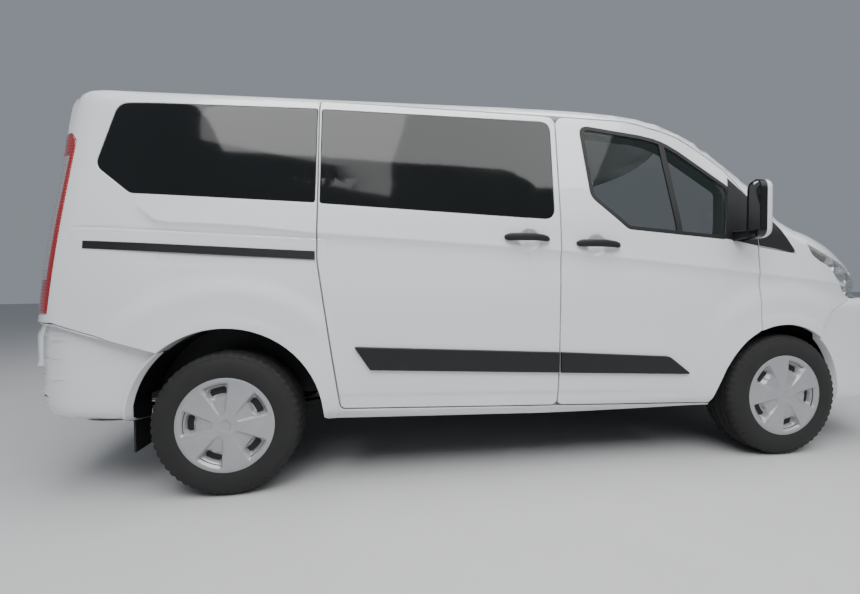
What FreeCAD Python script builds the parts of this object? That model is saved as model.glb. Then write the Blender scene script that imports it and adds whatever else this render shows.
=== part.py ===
import FreeCAD, Part
import math
import os
from FreeCAD import Vector

# Minibus with nine seats: short wheelbase, low roof, sliding door on the right, tailgate at the back
os.makedirs("parts", exist_ok=True)

# Millimetres. X points forward, Y to the vehicle's left, Z up. The ground is z = 0.
# Whole vehicle
nose_x = 2486.5
tail_x = -2486.5
roof_top_z = 1979.0
nose_bow_x = 0.0            # vertical axis that the windscreen, bonnet and nose bow round
tail_bow_x = 1000.0         # the same for the tail
far = 3000.0                # further out than any surface

# Wheels and axles
wheel_radius = 336.0
tyre_width = 215.0
rim_radius = 203.0
wheel_z = wheel_radius
front_axle_x = 1463.5
rear_axle_x = -1469.5
wheel_y = 869.0
stub_radius = 30.0
running_clearance = 0.05
cover_radius = 222.0
cover_spokes = 5
hub_inner_y = 762.0         # inner end of the hub's seat on the stub axle
hub_gap = 12.0              # between that seat's inner end and the rim, clear of the leaning upright
stub_end_y = 850.0

# Walls and gaps
door_wall = 90.0            # whole door or body side
plate = 28.0                # the door's outer plate, which laps over its pillar
rebate = 36.0               # depth of the step in the pillar behind that plate
lap = 34.0                  # how far the door's inner part stands back from the shut line
pillar_lap = 24.0           # how far the pillar's inner part reaches past the shut line
half_gap = 4.0              # half the gap at a shut line
roof_wall = 35.0
wing_wall = 22.0
bonnet_wall = 25.0
bumper_wall = 40.0
glass_wall = 6.0
lamp_depth = 60.0
tailgate_wall = 70.0
roof_edge_y = 790.0         # seam between the roof panel and the body side
side_inner_y = 760.0        # further in than any side wall or door

# Floor and sills
floor_z = 480.0
floor_thickness = 40.0
floor_half_width = 868.0
sill_inner_y = 775.0

# Wheel arches, in side view
front_arch = (1455.0, 340.0, 388.0)
rear_arch = (-1465.0, 345.0, 440.0)
lip_y = 925.0               # inboard of this the arch widens to the liner
front_liner_radius = 434.0
rear_liner_radius = 452.0
liner_wall = 5.0
arch_heel = (1021.0, 297.0)  # where the front arch meets the sill
arch_heel_turn = 24.0        # degrees up the arch from its centre, where the straight heel begins
front_house_y = 545.0
rear_house_y = 640.0

# Rounded outlines: each corner is (u, v, corner radius), anticlockwise.
# Side view of the front half, u measured from the bow axis
front_profile = [
    (0.0, 285.0, 0.0),
    (1000.0, 285.0, 0.0),
    (2290.0, 256.0, 40.0),
    (2420.0, 300.0, 70.0),
    (nose_x, 480.0, 120.0),
    (nose_x, 650.0, 160.0),
    (2440.0, 925.0, 220.0),
    (2335.0, 1112.0, 140.0),
    (1950.0, 1264.0, 300.0),
    (1845.0, 1290.0, 0.0),
    (1330.0, 1752.0, 900.0),
    (1115.0, 1872.0, 400.0),
    (845.0, 1938.0, 700.0),
    (400.0, roof_top_z, 900.0),
    (0.0, roof_top_z, 0.0),
]
# Side view of the back half
rear_profile = [
    (0.0, 267.0, 0.0),
    (0.0, roof_top_z, 0.0),
    (-1500.0, roof_top_z, 2500.0),
    (-2170.0, 1950.0, 300.0),
    (-2300.0, 1885.0, 90.0),
    (-2396.0, 1250.0, 3000.0),
    (-2440.0, 850.0, 60.0),
    (tail_x, 760.0, 50.0),
    (tail_x, 480.0, 90.0),
    (-2445.0, 378.0, 30.0),
    (-1900.0, 354.0, 0.0),
]
# Cross-section, left half from the sill to the middle of the roof
half_section = [
    (925.0, 240.0, 0.0),
    (964.0, 345.0, 90.0),
    (977.0, 600.0, 900.0),
    (977.0, 960.0, 1500.0),
    (961.0, 1290.0, 900.0),
    (868.0, 1850.0, 70.0),
    (838.0, 1900.0, 60.0),
    (795.0, 1934.0, 60.0),
    (430.0, 1980.0, 2600.0),
]
# Plan, left half from the nose to the tail
half_plan = [
    (2560.0, 540.0, 300.0),
    (2280.0, 880.0, 420.0),
    (1500.0, 992.0, 2500.0),
    (-1850.0, 992.0, 1200.0),
    (-2300.0, 925.0, 420.0),
    (-2560.0, 640.0, 320.0),
]
# Plan of the upper tail corner at belt height, and its inward shift at the roof
upper_plan_z = 900.0
upper_plan = [
    (2700.0, 1130.0, 0.0),
    (-1850.0, 1010.0, 1200.0),
    (-2305.0, 935.0, 420.0),
    (-2600.0, 612.0, 300.0),
]
upper_lean = (0.125, -0.125)  # X and Y per unit of height

# Shut lines and windows in side view
sliding_door_line = [
    (-946.0, 384.0, 30.0),
    (146.0, 345.0, 40.0),
    (172.0, 1122.0, 0.0),
    (190.0, 1866.0, 60.0),
    (-1030.0, 1906.0, 20.0),
    (-1046.0, 1100.0, 300.0),
]
front_door_line = [
    (146.0, 345.0, 30.0),
    (1305.0, 300.0, 0.0),
    (1305.0, 1155.0, 60.0),
    (1278.0, 1425.0, 120.0),
    (1158.0, 1585.0, 500.0),
    (879.0, 1778.0, 500.0),
    (600.0, 1850.0, 400.0),
    (190.0, 1866.0, 60.0),
    (172.0, 1122.0, 0.0),
]
quarter_window = [
    (-1880.0, 1411.0, 60.0),
    (-1052.0, 1374.0, 15.0),
    (-1038.0, 1855.0, 15.0),
    (-1955.0, 1850.0, 70.0),
    (-2048.0, 1545.0, 60.0),
]
middle_window = [
    (-1032.0, 1371.0, 15.0),
    (146.0, 1297.0, 60.0),
    (160.0, 1830.0, 60.0),
    (-1020.0, 1853.0, 15.0),
]
door_window = [
    (548.0, 1250.0, 60.0),
    (1126.0, 1196.0, 40.0),
    (1172.0, 1482.0, 60.0),
    (791.0, 1756.0, 500.0),
    (318.0, 1820.0, 50.0),
    (352.0, 1421.0, 90.0),
]
rear_pillar_back_x = -1110.0   # the pillar behind the sliding door, behind the quarter glass
window_rebate = 22.0        # width of the step that the glass is bonded to
divider_top = (804.0, 1752.0)
divider_foot = (857.0, 1215.0)
divider_width = 34.0

# Bonnet, lamps and bumpers in side view
bonnet_half_width = 785.0
bonnet_line = ((1728.0, 1172.0), (2440.0, 985.0))
lamp_line = ((1728.0, 1172.0), (2005.0, 868.0))
bumper_line = [(1660.0, 640.0), (1772.0, 791.0), (2005.0, 866.0), (2700.0, 866.0)]
grille_half_width = 515.0
grille_foot_z = 795.0
cowl_back = 1838.0
cowl_front = 1928.0
bonnet_back = 1960.0
windscreen_top = 1150.0
screen_top = (760.0, 790.0)  # plan corners of the windscreen
screen_foot = (1700.0, 880.0)
bonnet_gap = 6.0
wing_top_z = 1160.0
wing_foot_z = 600.0
pillar_foot = (1541.0, 1122.0)
pillar_head = (1400.0, 1322.0)
lower_mouth_z = (390.0, 590.0)
lower_bar_z = (420.0, 475.0, 530.0)
grille_slot_z = (818.0, 860.0, 902.0)
grille_slot = 28.0
rear_bumper_line = [(-2700.0, 832.0), (-2213.0, 820.0), (-1730.0, 676.0), (-1800.0, 200.0), (-2700.0, 200.0)]
tail_lamp_line = [(-2241.0, 862.0), (-2188.0, 1300.0), (-2146.0, 1672.0), (-2180.0, 1712.0), (-2700.0, 1740.0),
                  (-2700.0, 862.0)]

# Tailgate
tailgate_half_width = 755.0
tailgate_inner_half_width = 700.0
tailgate_foot_z = 612.0
tailgate_gap = 6.0
tailgate_axis = (-2200.0, 1931.0)
tailgate_back_of_axis = 9.0
roof_front_of_axis = 4.0
roof_tail_x = -2140.0       # behind this the roof is only as wide as the tailgate
roof_low_z = 1500.0
tailgate_window = [(-640.0, 1190.0, 60.0), (640.0, 1190.0, 60.0), (610.0, 1800.0, 80.0), (-610.0, 1800.0, 80.0)]

# Gas strut: its foot on the body and its eye on the tailgate, both (x, z)
strut_y = 732.0
strut_foot = (-2262.0, 1180.0)
strut_eye = (-2178.0, 1731.0)
strut_tube_length = 330.0
strut_tube_radius = 11.0
strut_rod_radius = 5.0
strut_rod_length = 500.0
strut_ball_radius = 9.0
strut_knuckle_radius = 13.0
strut_pin_radius = 5.0
strut_stud_radius = 4.0
strut_clearance = 6.0

# Front door hinge
hinge_back = 34.0           # behind the shut line
hinge_y = 966.0
front_shut_x = 1305.0
swing_radius_low = 42.0     # room for the front edge of an opening door
swing_radius_high = 64.0

# Fuel flap on the left side
flap_line = [(-110.0, 800.0, 25.0), (50.0, 800.0, 25.0), (50.0, 960.0, 25.0), (-110.0, 960.0, 25.0)]
flap_wall = 12.0
flap_gap = 8.0
flap_cup = 34.0

# Kingpin: lower joint and upper mount, both (y, z)
kingpin_low = (745.0, 190.0)
kingpin_top = (640.0, 985.0)
strut_body_radius = 26.0
tower_rod_radius = 11.0

# Knuckles and rear axle
upright_radius = 34.0
upright_top_z = 520.0
axle_radius = 38.0
leaf_half_width = 32.0
leaf_reach = (610.0, 590.0)     # behind and ahead of the axle
leaf_drop = (26.0, 60.0, 66.0)  # upper face, lower face and seat plate below the axle's middle
leaf_eye_drop = (30.0, 46.0)
leaf_eye = (25.0, 52.0)     # half length and height
leaf_seat_half_length = 60.0

# Rim, as distances from the wheel's middle and radii
rim_flange = 14.0
barrel_radius = 188.0
rim_disc_y = (34.0, 46.0)
rim_disc_edge = (168.0, 178.0, 185.0)
hub_radius = 62.0
hub_cap_radius = 60.0
hub_cap_wall = 8.0
brake_disc_radius = 140.0
brake_disc_y = (12.0, 30.0)     # behind the hub's inner face
cover_pocket = [(105.0, -24.0, 8.0), (188.0, -44.0, 12.0), (188.0, 44.0, 12.0), (105.0, 24.0, 8.0)]

# Front frame: bulkhead, beam behind the bumper, rails, towers, subframe and arms
bulkhead_x = (1300.0, 1330.0)
bulkhead_half_width = 860.0
bulkhead_top_z = 1120.0
toe_board = [(1090.0, floor_z - floor_thickness), (1310.0, floor_z - floor_thickness), (1310.0, 800.0),
             (1290.0, 800.0), (1090.0, floor_z)]
beam_x = (2290.0, 2336.0)
beam_half_width = 640.0
beam_z = (430.0, 560.0)
front_rail_y = (430.0, 520.0)
front_rail_z = (420.0, 540.0)
tower_x = (1330.0, 1640.0)
tower_wall_y = (500.0, 540.0)
tower_top_x = (1370.0, 1557.0)
tower_top_y = 720.0
tower_thickness = 20.0
subframe_x = (1400.0, 1530.0)
subframe_thickness = 50.0
arm_plan = [(1360.0, 430.0), (1600.0, 430.0), (1490.0, 760.0), (1437.0, 760.0)]
arm_drop = 26.0             # below the ball pin's middle
arm_thickness = 22.0
ball_pin_radius = 12.0

# Engine block, its mount, fuel tank and exhaust
engine_box = (1600.0, 2140.0, -360.0, 360.0, 330.0, 930.0)
engine_mount = (1850.0, 1900.0, -430.0, 430.0, 450.0, 500.0)
tank_box = (-350.0, 520.0, 70.0, 440.0, 215.0)
tank_gap = 30.0
exhaust_path = [(1390, -200, 300), (-900, -200, 300), (-1150, -250, 405), (-1750, -250, 405), (-1950, -300, 330),
                (-2300, -300, 330)]
exhaust_radius = 26.0
silencer_ends = ((-850, -200, 300), (-250, -200, 300))
silencer_radius = 95.0
exhaust_hangers = ((-690, -650, -210, -190, 380, 410), (-2110, -2090, -310, -290, 340, 410))

# Steering wheel
steer_hub = (62.0, 34.0, 42.0)      # radius, height and distance of its foot below the rim's middle
steer_spoke = (11.0, 14.0)  # radius and distance below the rim's middle
steer_shroud = (48.0, 60.0)     # radius, and how much shorter than the shaft
steer_centre = Vector(985.0, 420.0, 1085.0)
steer_tilt = 32.0           # degrees between its shaft and the floor
steer_radius = 185.0
steer_rim = 15.0
shaft_radius = 12.0
shaft_length = 330.0

# Dashboard in side view
dash_outline = [(1150.0, 830.0, 30.0), (1300.0, 806.0, 0.0), (1300.0, 1121.0, 0.0), (1640.0, 1150.0, 0.0),
                (1640.0, 1200.0, 0.0), (1240.0, 1215.0, 60.0), (1110.0, 1120.0, 60.0)]
dash_half_width = 855.0

# Frame and underbody
rail_y = (470.0, 560.0)
rail_height = 60.0
rail_back_x = -2130.0
rail_front_x = 1020.0
liner_foot_z = 290.0
liner_edge_y = 924.0
mud_flap_z = (205.0, 450.0)
mud_flap_y = (745.0, 885.0)
mud_flap_behind = 436.5
mud_flap_wall = 8.0

subframe_z = 235.0
tower_z = 985.0

# Hinge pins
tailgate_pin_y = (468.0, 532.0)   # notch in the roof's edge for each hinge ring
tailgate_pin_radius = 4.0
tailgate_ring_radius = 8.0
tailgate_notch_radius = 14.0
bonnet_axis = (1815.0, 1242.0)
bonnet_pin_y = (765.0, 800.0)
flap_pin = (42.0, 971.0)
flap_pin_z = (786.0, 974.0)
flap_pin_radius = 3.0
slide_rail_height = 6.0

# Black trim in side view
moulding_rear = [(-803.0, 567.0), (148.0, 517.0), (148.0, 622.0), (-878.0, 682.0)]
moulding_front = [(158.0, 516.0), (889.0, 479.0), (760.0, 579.0), (158.0, 622.0)]
moulding_height = 14.0
slide_rail = [(-2077.0, 1156.0), (-1054.0, 1097.0), (-1054.0, 1142.0), (-2077.0, 1196.0)]
sliding_door_handle = (-129.0, 102.0, 1200.0)   # from x, to x, z
front_door_handle = (248.0, 477.0, 1170.0)
handle_height = 28.0
handle_feet = (70.0, 50.0)  # lengths of its back and front foot

# Mirror: head seen from behind (y, z) and from the side (x, z), and its arm
mirror_face = [(1000.0, 1185.0, 40.0), (1130.0, 1185.0, 50.0), (1136.0, 1490.0, 60.0), (1010.0, 1490.0, 50.0)]
mirror_x = (1135.0, 1235.0)
mirror_side = [(1135.0, 1180.0, 12.0), (1200.0, 1180.0, 50.0), (1235.0, 1300.0, 60.0), (1225.0, 1440.0, 60.0),
               (1180.0, 1495.0, 40.0), (1135.0, 1495.0, 12.0)]
mirror_arm = (1150.0, 1215.0, 930.0, 1030.0, 1192.0, 1245.0)

# Seats in side view, from the front edge of the cushion
seat_cushion = [(-520.0, 760.0, 30.0), (0.0, 750.0, 40.0), (0.0, 880.0, 40.0), (-520.0, 850.0, 30.0)]
seat_back = [(-560.0, 840.0, 30.0), (-440.0, 840.0, 30.0), (-560.0, 1400.0, 40.0), (-660.0, 1390.0, 40.0)]
head_rest = [(-670.0, 1430.0, 30.0), (-590.0, 1430.0, 30.0), (-610.0, 1610.0, 30.0), (-690.0, 1600.0, 30.0)]
head_rest_half_width = 120.0
head_rest_post = ((-622.0, 1370.0), (-636.0, 1450.0))
head_rest_post_y = 60.0
head_rest_post_radius = 7.0
seat_base = (-470.0, -60.0, 60.0, 765.0)    # back and front edge, inset at the sides, top

# Seats: right edge, left edge, front edge of the cushion, places
seat_rows = {
    "front_seats": [(170.0, 680.0, 800.0, 1), (-790.0, 90.0, 800.0, 2)],
    "rear_benches": [(-560.0, 790.0, -170.0, 3), (-610.0, 610.0, -1130.0, 3)],
}

# Threaded holes for roof bars, in flat pads, and for the towing eye
roof_bar_x = (-1300.0, -100.0)
roof_bar_y = 740.0
roof_bar_z = 1950.0
roof_pad_radius = 14.0
roof_bar_hole = 4.0
roof_bar_depth = 22.0
towing_boss = (2300.0, 2404.0, -380.0, 511.5)   # from x, to x, y, z
towing_boss_radius = 15.0
towing_hole = 8.0
towing_depth = 60.0

nodes = {}


def tangent_edges(corners, place):
    """Edges of a closed outline with its corners rounded by tangent arcs."""
    count = len(corners)
    ends = []
    for i in range(count):
        u, v, radius = corners[i]
        before, after = corners[i - 1], corners[(i + 1) % count]
        back = math.hypot(before[0] - u, before[1] - v)
        on = math.hypot(after[0] - u, after[1] - v)
        in_u, in_v = (u - before[0]) / back, (v - before[1]) / back
        out_u, out_v = (after[0] - u) / on, (after[1] - v) / on
        turn = math.acos(max(-1.0, min(1.0, in_u * out_u + in_v * out_v)))
        reach = min(radius * math.tan(turn / 2), 0.48 * back, 0.48 * on)
        if reach < 0.5:
            ends.append(((u, v), None, (u, v)))
            continue
        round_radius = reach / math.tan(turn / 2)
        rise = round_radius * (1 / math.cos(turn / 2) - 1)
        mid_u, mid_v = out_u - in_u, out_v - in_v
        size = math.hypot(mid_u, mid_v)
        middle = (u + rise * mid_u / size, v + rise * mid_v / size)
        ends.append(((u - reach * in_u, v - reach * in_v), middle, (u + reach * out_u, v + reach * out_v)))
    edges = []
    for i in range(count):
        start, middle, end = ends[i]
        if middle:
            edges.append(Part.Arc(place(*start), place(*middle), place(*end)).toShape())
        following = ends[(i + 1) % count][0]
        if math.hypot(following[0] - end[0], following[1] - end[1]) > 1e-6:
            edges.append(Part.makeLine(place(*end), place(*following)))
    return edges


def outline_wire(corners, place):
    """Closed wire round an outline whose corners are (u, v) or (u, v, radius)."""
    return Part.Wire(tangent_edges([(*corner, 0.0)[:3] for corner in corners], place))


def inset_outline(corners, inset, still=()):
    """The outline with each side moved inwards, apart from the sides whose number is in still."""
    count = len(corners)
    lines = []
    for i in range(count):
        u0, v0 = corners[i][:2]
        u1, v1 = corners[(i + 1) % count][:2]
        size = math.hypot(u1 - u0, v1 - v0)
        along_u, along_v = (u1 - u0) / size, (v1 - v0) / size
        shift = 0.0 if i in still else inset
        lines.append((u0 - along_v * shift, v0 + along_u * shift, along_u, along_v))
    moved = []
    for i in range(count):
        a_u, a_v, a_du, a_dv = lines[i - 1]
        b_u, b_v, b_du, b_dv = lines[i]
        turn = a_du * b_dv - a_dv * b_du
        if abs(turn) < 1e-6:
            u, v = b_u, b_v
        else:
            step = ((b_u - a_u) * b_dv - (b_v - a_v) * b_du) / turn
            u, v = a_u + step * a_du, a_v + step * a_dv
        radius = corners[i][2] if len(corners[i]) == 3 else 0.0
        if radius:
            radius = max(0.0, radius - inset if turn > 0 else radius + inset)
        moved.append((u, v, radius))
    return moved


def side_prism(corners, y_from, y_to):
    """Solid whose outline is given in X and Z."""
    wire = outline_wire(corners, lambda x, z: Vector(x, y_from, z))
    return Part.Face(wire).extrude(Vector(0, y_to - y_from, 0))


def plan_prism(corners, z_from, z_to):
    """Solid whose outline is given in X and Y."""
    wire = outline_wire(corners, lambda x, y: Vector(x, y, z_from))
    return Part.Face(wire).extrude(Vector(0, 0, z_to - z_from))


def cross_prism(corners, x_from, x_to):
    """Solid whose outline is given in Y and Z."""
    wire = outline_wire(corners, lambda y, z: Vector(x_from, y, z))
    return Part.Face(wire).extrude(Vector(x_to - x_from, 0, 0))


def block(x_from, x_to, y_from, y_to, z_from, z_to):
    return Part.makeBox(x_to - x_from, y_to - y_from, z_to - z_from, Vector(x_from, y_from, z_from))


def rod(start, end, radius):
    """Round bar between two points."""
    start, end = Vector(*start), Vector(*end)
    return Part.makeCylinder(radius, (end - start).Length, start, end - start)


def fuse(shapes):
    return shapes[0].multiFuse(shapes[1:]).removeSplitter() if len(shapes) > 1 else shapes[0]


def mirrored(shape):
    """The same shape on the other side of the vehicle."""
    return shape.mirror(Vector(0, 0, 0), Vector(0, 1, 0))


def both_sides(shape):
    return Part.makeCompound([shape, mirrored(shape)])


def solids_of(shape, smallest=500.0):
    """The solids of a shape, without crumbs."""
    return [solid for solid in shape.Solids if solid.Volume > smallest]


def as_node(name, shape):
    kept = solids_of(shape)
    nodes[name] = kept[0] if len(kept) == 1 else Part.makeCompound(kept)


# The body's outer form, and the same form moved inwards by a wall
form_store = {}


def full_section(inset):
    left = list(half_section)
    right = [(-y, z, radius) for y, z, radius in reversed(half_section)]
    return inset_outline(left + right, inset, still=(len(left + right) - 1,))


def full_plan(half, inset):
    right = [(x, -y, radius) for x, y, radius in reversed(half)]
    return inset_outline(list(half) + right, inset)


def tail_corner(inset):
    """Upright prism with the plan of the left tail corner, leaned inwards and forwards to the roof."""
    pivot = Vector(upper_plan[2][0], upper_plan[2][1], upper_plan_z)
    prism = plan_prism(full_plan(upper_plan, inset), upper_plan_z - far, upper_plan_z + far)
    lean = FreeCAD.Rotation(Vector(0, 0, 1), Vector(*upper_lean, 1.0))
    prism.rotate(pivot, lean.Axis, math.degrees(lean.Angle))
    return prism


def revolved_half(corners, axis_x):
    """Half turn of a side profile round a vertical axis, u measured from that axis."""
    face = Part.Face(outline_wire(corners, lambda u, z: Vector(axis_x + u, 0, z)))
    face.rotate(Vector(axis_x, 0, 0), Vector(0, 0, 1), -90)
    return face.revolve(Vector(axis_x, 0, 0), Vector(0, 0, 1), 180)


def body_form(inset=0.0):
    """The outer form of the body, moved inwards by inset."""
    if inset in form_store:
        return form_store[inset]
    nose = revolved_half(inset_outline(front_profile, inset, still=(len(front_profile) - 1,)), nose_bow_x)
    rear = [(x - tail_bow_x, z, radius) for x, z, radius in inset_outline(rear_profile, inset, still=(0,))]
    rear[0] = (0.0, rear[0][1], 0.0)
    rear[1] = (0.0, rear[1][1], 0.0)
    tail = revolved_half(rear, tail_bow_x)
    section = cross_prism(full_section(inset), -far, far)
    section = section.common(plan_prism(full_plan(half_plan, inset), -100, 2200))
    corner = tail_corner(inset)
    front = section.common(block(0, far, -far, far, 0, far)).common(nose)
    back = section.common(block(-far, 0, -far, far, 0, far)).common(tail)
    back = back.common(corner).common(mirrored(corner))
    form = front.fuse(back).removeSplitter()
    form_store[inset] = form
    return form


def left_form(inset):
    """The left half of the form."""
    key = ("left", inset)
    if key not in form_store:
        form_store[key] = body_form(inset).common(block(-far, far, 0, far, -far, far))
    return form_store[key]


def wall(region, depth, start=0.0):
    """The body's wall inside a region on the left side, from start to depth below the surface."""
    piece = left_form(start).common(region)
    return piece.cut(left_form(depth)) if depth else piece


def middle_wall(region, depth, start=0.0):
    """The same for a region that crosses the middle."""
    return body_form(start).common(region).cut(body_form(depth))


def arch_cut(arch, axle_x, liner_radius, house_y):
    """Space of one left wheel: the arch through the panel, and the wider house behind its lip."""
    x, z, radius = arch
    lip = rod((x, lip_y - 1, z), (x, 1200, z), radius)
    house = rod((axle_x, house_y, wheel_z), (axle_x, lip_y, wheel_z), liner_radius)
    below = block(x - radius, x + radius, lip_y - 1, 1200, -100, z)
    under = block(axle_x - liner_radius, axle_x + liner_radius, house_y, lip_y, -100, wheel_z)
    return lip.multiFuse([house, below, under])


def front_wheel_cut():
    x, z, radius = front_arch
    heel_x, heel_z = arch_heel
    lean = math.radians(arch_heel_turn)
    touch = (x - radius * math.cos(lean), z + radius * math.sin(lean))
    heel = side_prism([(heel_x, 0), (x, 0), (x, z), touch, (heel_x, heel_z)], lip_y - 60, 1200)
    return arch_cut(front_arch, front_axle_x, front_liner_radius, front_house_y).fuse(heel)


def rear_wheel_cut():
    return arch_cut(rear_arch, rear_axle_x, rear_liner_radius, rear_house_y)


def outboard(corners):
    """Side outline carried through the left side of the body."""
    return side_prism(corners, side_inner_y, far)


def disc_region(radius, hole=0.0):
    """Everything within a distance of the nose's bow axis, or between two distances."""
    region = rod((nose_bow_x, 0, 700), (nose_bow_x, 0, 2200), radius)
    return region.cut(rod((nose_bow_x, 0, 600), (nose_bow_x, 0, 2300), hole)) if hole else region


def above_bonnet_line(shift):
    """Outline of everything over the line where the bonnet ends, moved down by shift."""
    (x0, z0), (x1, z1) = bonnet_line
    slope = (z1 - z0) / (x1 - x0)
    front_x, back_x = 2800.0, 1300.0
    return [(back_x, z0 + slope * (back_x - x0) - shift), (front_x, z0 + slope * (front_x - x0) - shift),
            (front_x, 1700), (back_x, 1700)]


def headlamp_outline():
    (x0, z0), (x1, z1) = lamp_line
    top = above_bonnet_line(bonnet_gap)
    return [(x1, z1), (2800, z1), top[1], (x0, z0 - bonnet_gap)]


def glass_hole(window, pillar_x=far):
    """The step that a pane is bonded to, and the hole behind it, as far forward as the pillar."""
    step = wall(outboard(window), glass_wall)
    hole = outboard(inset_outline(window, window_rebate)).common(block(-far, pillar_x, 0, far, 0, far))
    return step.fuse(hole)


def door_hole(line):
    """The rebate for a door's plate, and the narrower hole for its inner part."""
    deep = outboard(inset_outline(line, pillar_lap))
    return wall(outboard(inset_outline(line, -half_gap)), rebate).fuse(deep)


def door_leaf(line, window, wheels):
    """A door as thick as the body side: an outer plate that laps over the pillars, and its inner part."""
    outside = wall(outboard(inset_outline(line, half_gap)), plate)
    inside = wall(outboard(inset_outline(line, lap)), door_wall, plate)
    return outside.fuse(inside).cut(glass_hole(window)).cut(wheels)


def build_sides(wheels, lamps, bumper_area):
    """Body sides: sill, pillars, cant rail, quarter and windscreen pillar, as thick as the doors."""
    lamp_edge = tailgate_half_width + tailgate_gap
    plan = [(-far, lamp_edge), (roof_tail_x, lamp_edge), (roof_tail_x, roof_edge_y), screen_top, screen_foot,
            (screen_foot[0], 1200), (-far, 1200)]
    shut = front_shut_x + half_gap
    front_edge = [(-far, 0), (shut, 0), (shut, wing_top_z), pillar_foot, pillar_head, (pillar_head[0], far),
                  (-far, far)]
    side = wall(plan_prism(plan, 100, far).common(side_prism(front_edge, 0, far)), door_wall)
    sill = block(-1960, shut - 20, sill_inner_y, floor_half_width, 300, floor_z - floor_thickness)
    foot_x, foot_z = strut_foot
    near_y = strut_y + strut_knuckle_radius + strut_clearance
    bracket = block(foot_x - 12, foot_x + 45, near_y, lamp_edge + 12, foot_z - 16, foot_z + 16)
    pin = rod((foot_x, strut_y - strut_knuckle_radius, foot_z), (foot_x, near_y + 2, foot_z), strut_pin_radius)
    side = side.multiFuse([sill, bracket]).cut(wheels).cut(lamps).cut(bumper_area).fuse(pin)
    hinge_x = front_shut_x - hinge_back
    swing_low = rod((hinge_x, hinge_y, 280), (hinge_x, hinge_y, 1150), swing_radius_low)
    swing_high = rod((hinge_x, hinge_y, 1130), (hinge_x, hinge_y, 1450), swing_radius_high)
    side = side.cut(door_hole(front_door_line)).cut(swing_low).cut(swing_high)
    side = side.cut(glass_hole(quarter_window, rear_pillar_back_x))
    left = side.cut(glass_hole(middle_window))
    left = left.cut(wall(outboard(inset_outline(flap_line, -flap_gap)), rebate))
    pin, pin_hole = [rod((*flap_pin, flap_pin_z[0]), (*flap_pin, flap_pin_z[1]), flap_pin_radius + extra)
                     for extra in (0, running_clearance)]
    as_node("side_left", left.fuse(pin))
    as_node("side_right", mirrored(side.cut(door_hole(sliding_door_line))))
    as_node("fuel_flap", wall(outboard(flap_line), flap_wall).cut(pin_hole))


def build_doors(wheels):
    as_node("sliding_door", mirrored(door_leaf(sliding_door_line, middle_window, wheels)))
    panes = [wall(outboard(window), glass_wall) for window in (quarter_window, middle_window)]
    as_node("side_glass", Part.makeCompound(panes + [mirrored(pane) for pane in panes]))
    door = door_leaf(front_door_line, door_window, wheels)
    (top_x, top_z), (foot_x, foot_z) = divider_top, divider_foot
    strip = [(foot_x - divider_width, foot_z), (foot_x, foot_z), (top_x, top_z), (top_x - divider_width, top_z)]
    door = door.fuse(wall(outboard(strip), plate, glass_wall))
    pane = wall(outboard(door_window), glass_wall)
    for word, place in (("left", lambda shape: shape), ("right", mirrored)):
        as_node("front_door_" + word, place(door))
        as_node("door_glass_" + word, place(pane))


def build_roof():
    back_x = tailgate_axis[0] + roof_front_of_axis
    narrow = tailgate_half_width + tailgate_gap
    half = [(1400, roof_edge_y), (roof_tail_x, roof_edge_y), (roof_tail_x, narrow), (back_x, narrow)]
    region = plan_prism(half + [(x, -y) for x, y in reversed(half)], roof_low_z, 2100)
    region = region.common(block(-far, 0, -far, far, 0, far).fuse(disc_region(windscreen_top)))
    roof = middle_wall(region, roof_wall)
    for x in roof_bar_x:
        for y in (-roof_bar_y, roof_bar_y):
            roof = roof.fuse(rod((x, y, roof_bar_z - 15), (x, y, roof_bar_z), roof_pad_radius))
            roof = roof.cut(rod((x, y, roof_bar_z - roof_bar_depth), (x, y, roof_bar_z + 10), roof_bar_hole))
    axis_x, axis_z = tailgate_axis
    notch_in, notch_out = tailgate_pin_y
    for side in (-1, 1):
        ends = [(axis_x, side * (notch_in - 13), axis_z), (axis_x, side * (notch_out + 13), axis_z)]
        roof = roof.cut(rod((axis_x, side * notch_in, axis_z), (axis_x, side * notch_out, axis_z),
                            tailgate_notch_radius))
        lugs = [block(axis_x - 4, axis_x + 10, *sorted((side * y, side * (y + 13))), axis_z - 9, axis_z + 2)
                for y in (notch_in - 13, notch_out)]
        roof = roof.multiFuse(lugs + [rod(*ends, tailgate_pin_radius)])
    as_node("roof", roof)
    sheet = screen_outline(0.0)
    ring = disc_region(cowl_back, windscreen_top)
    as_node("windscreen", middle_wall(plan_prism(sheet, 1200, 2100).common(ring), glass_wall))


def screen_outline(gap):
    """Plan of the windscreen, which stops short of the pillars by gap."""
    half = [(screen_top[0] - 60, screen_top[1] - gap), (screen_top[0], screen_top[1] - gap),
            (screen_foot[0], screen_foot[1] - gap), (2100, screen_foot[1] - gap)]
    return [(x, -y) for x, y in half] + [(x, y) for x, y in reversed(half)]


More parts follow.
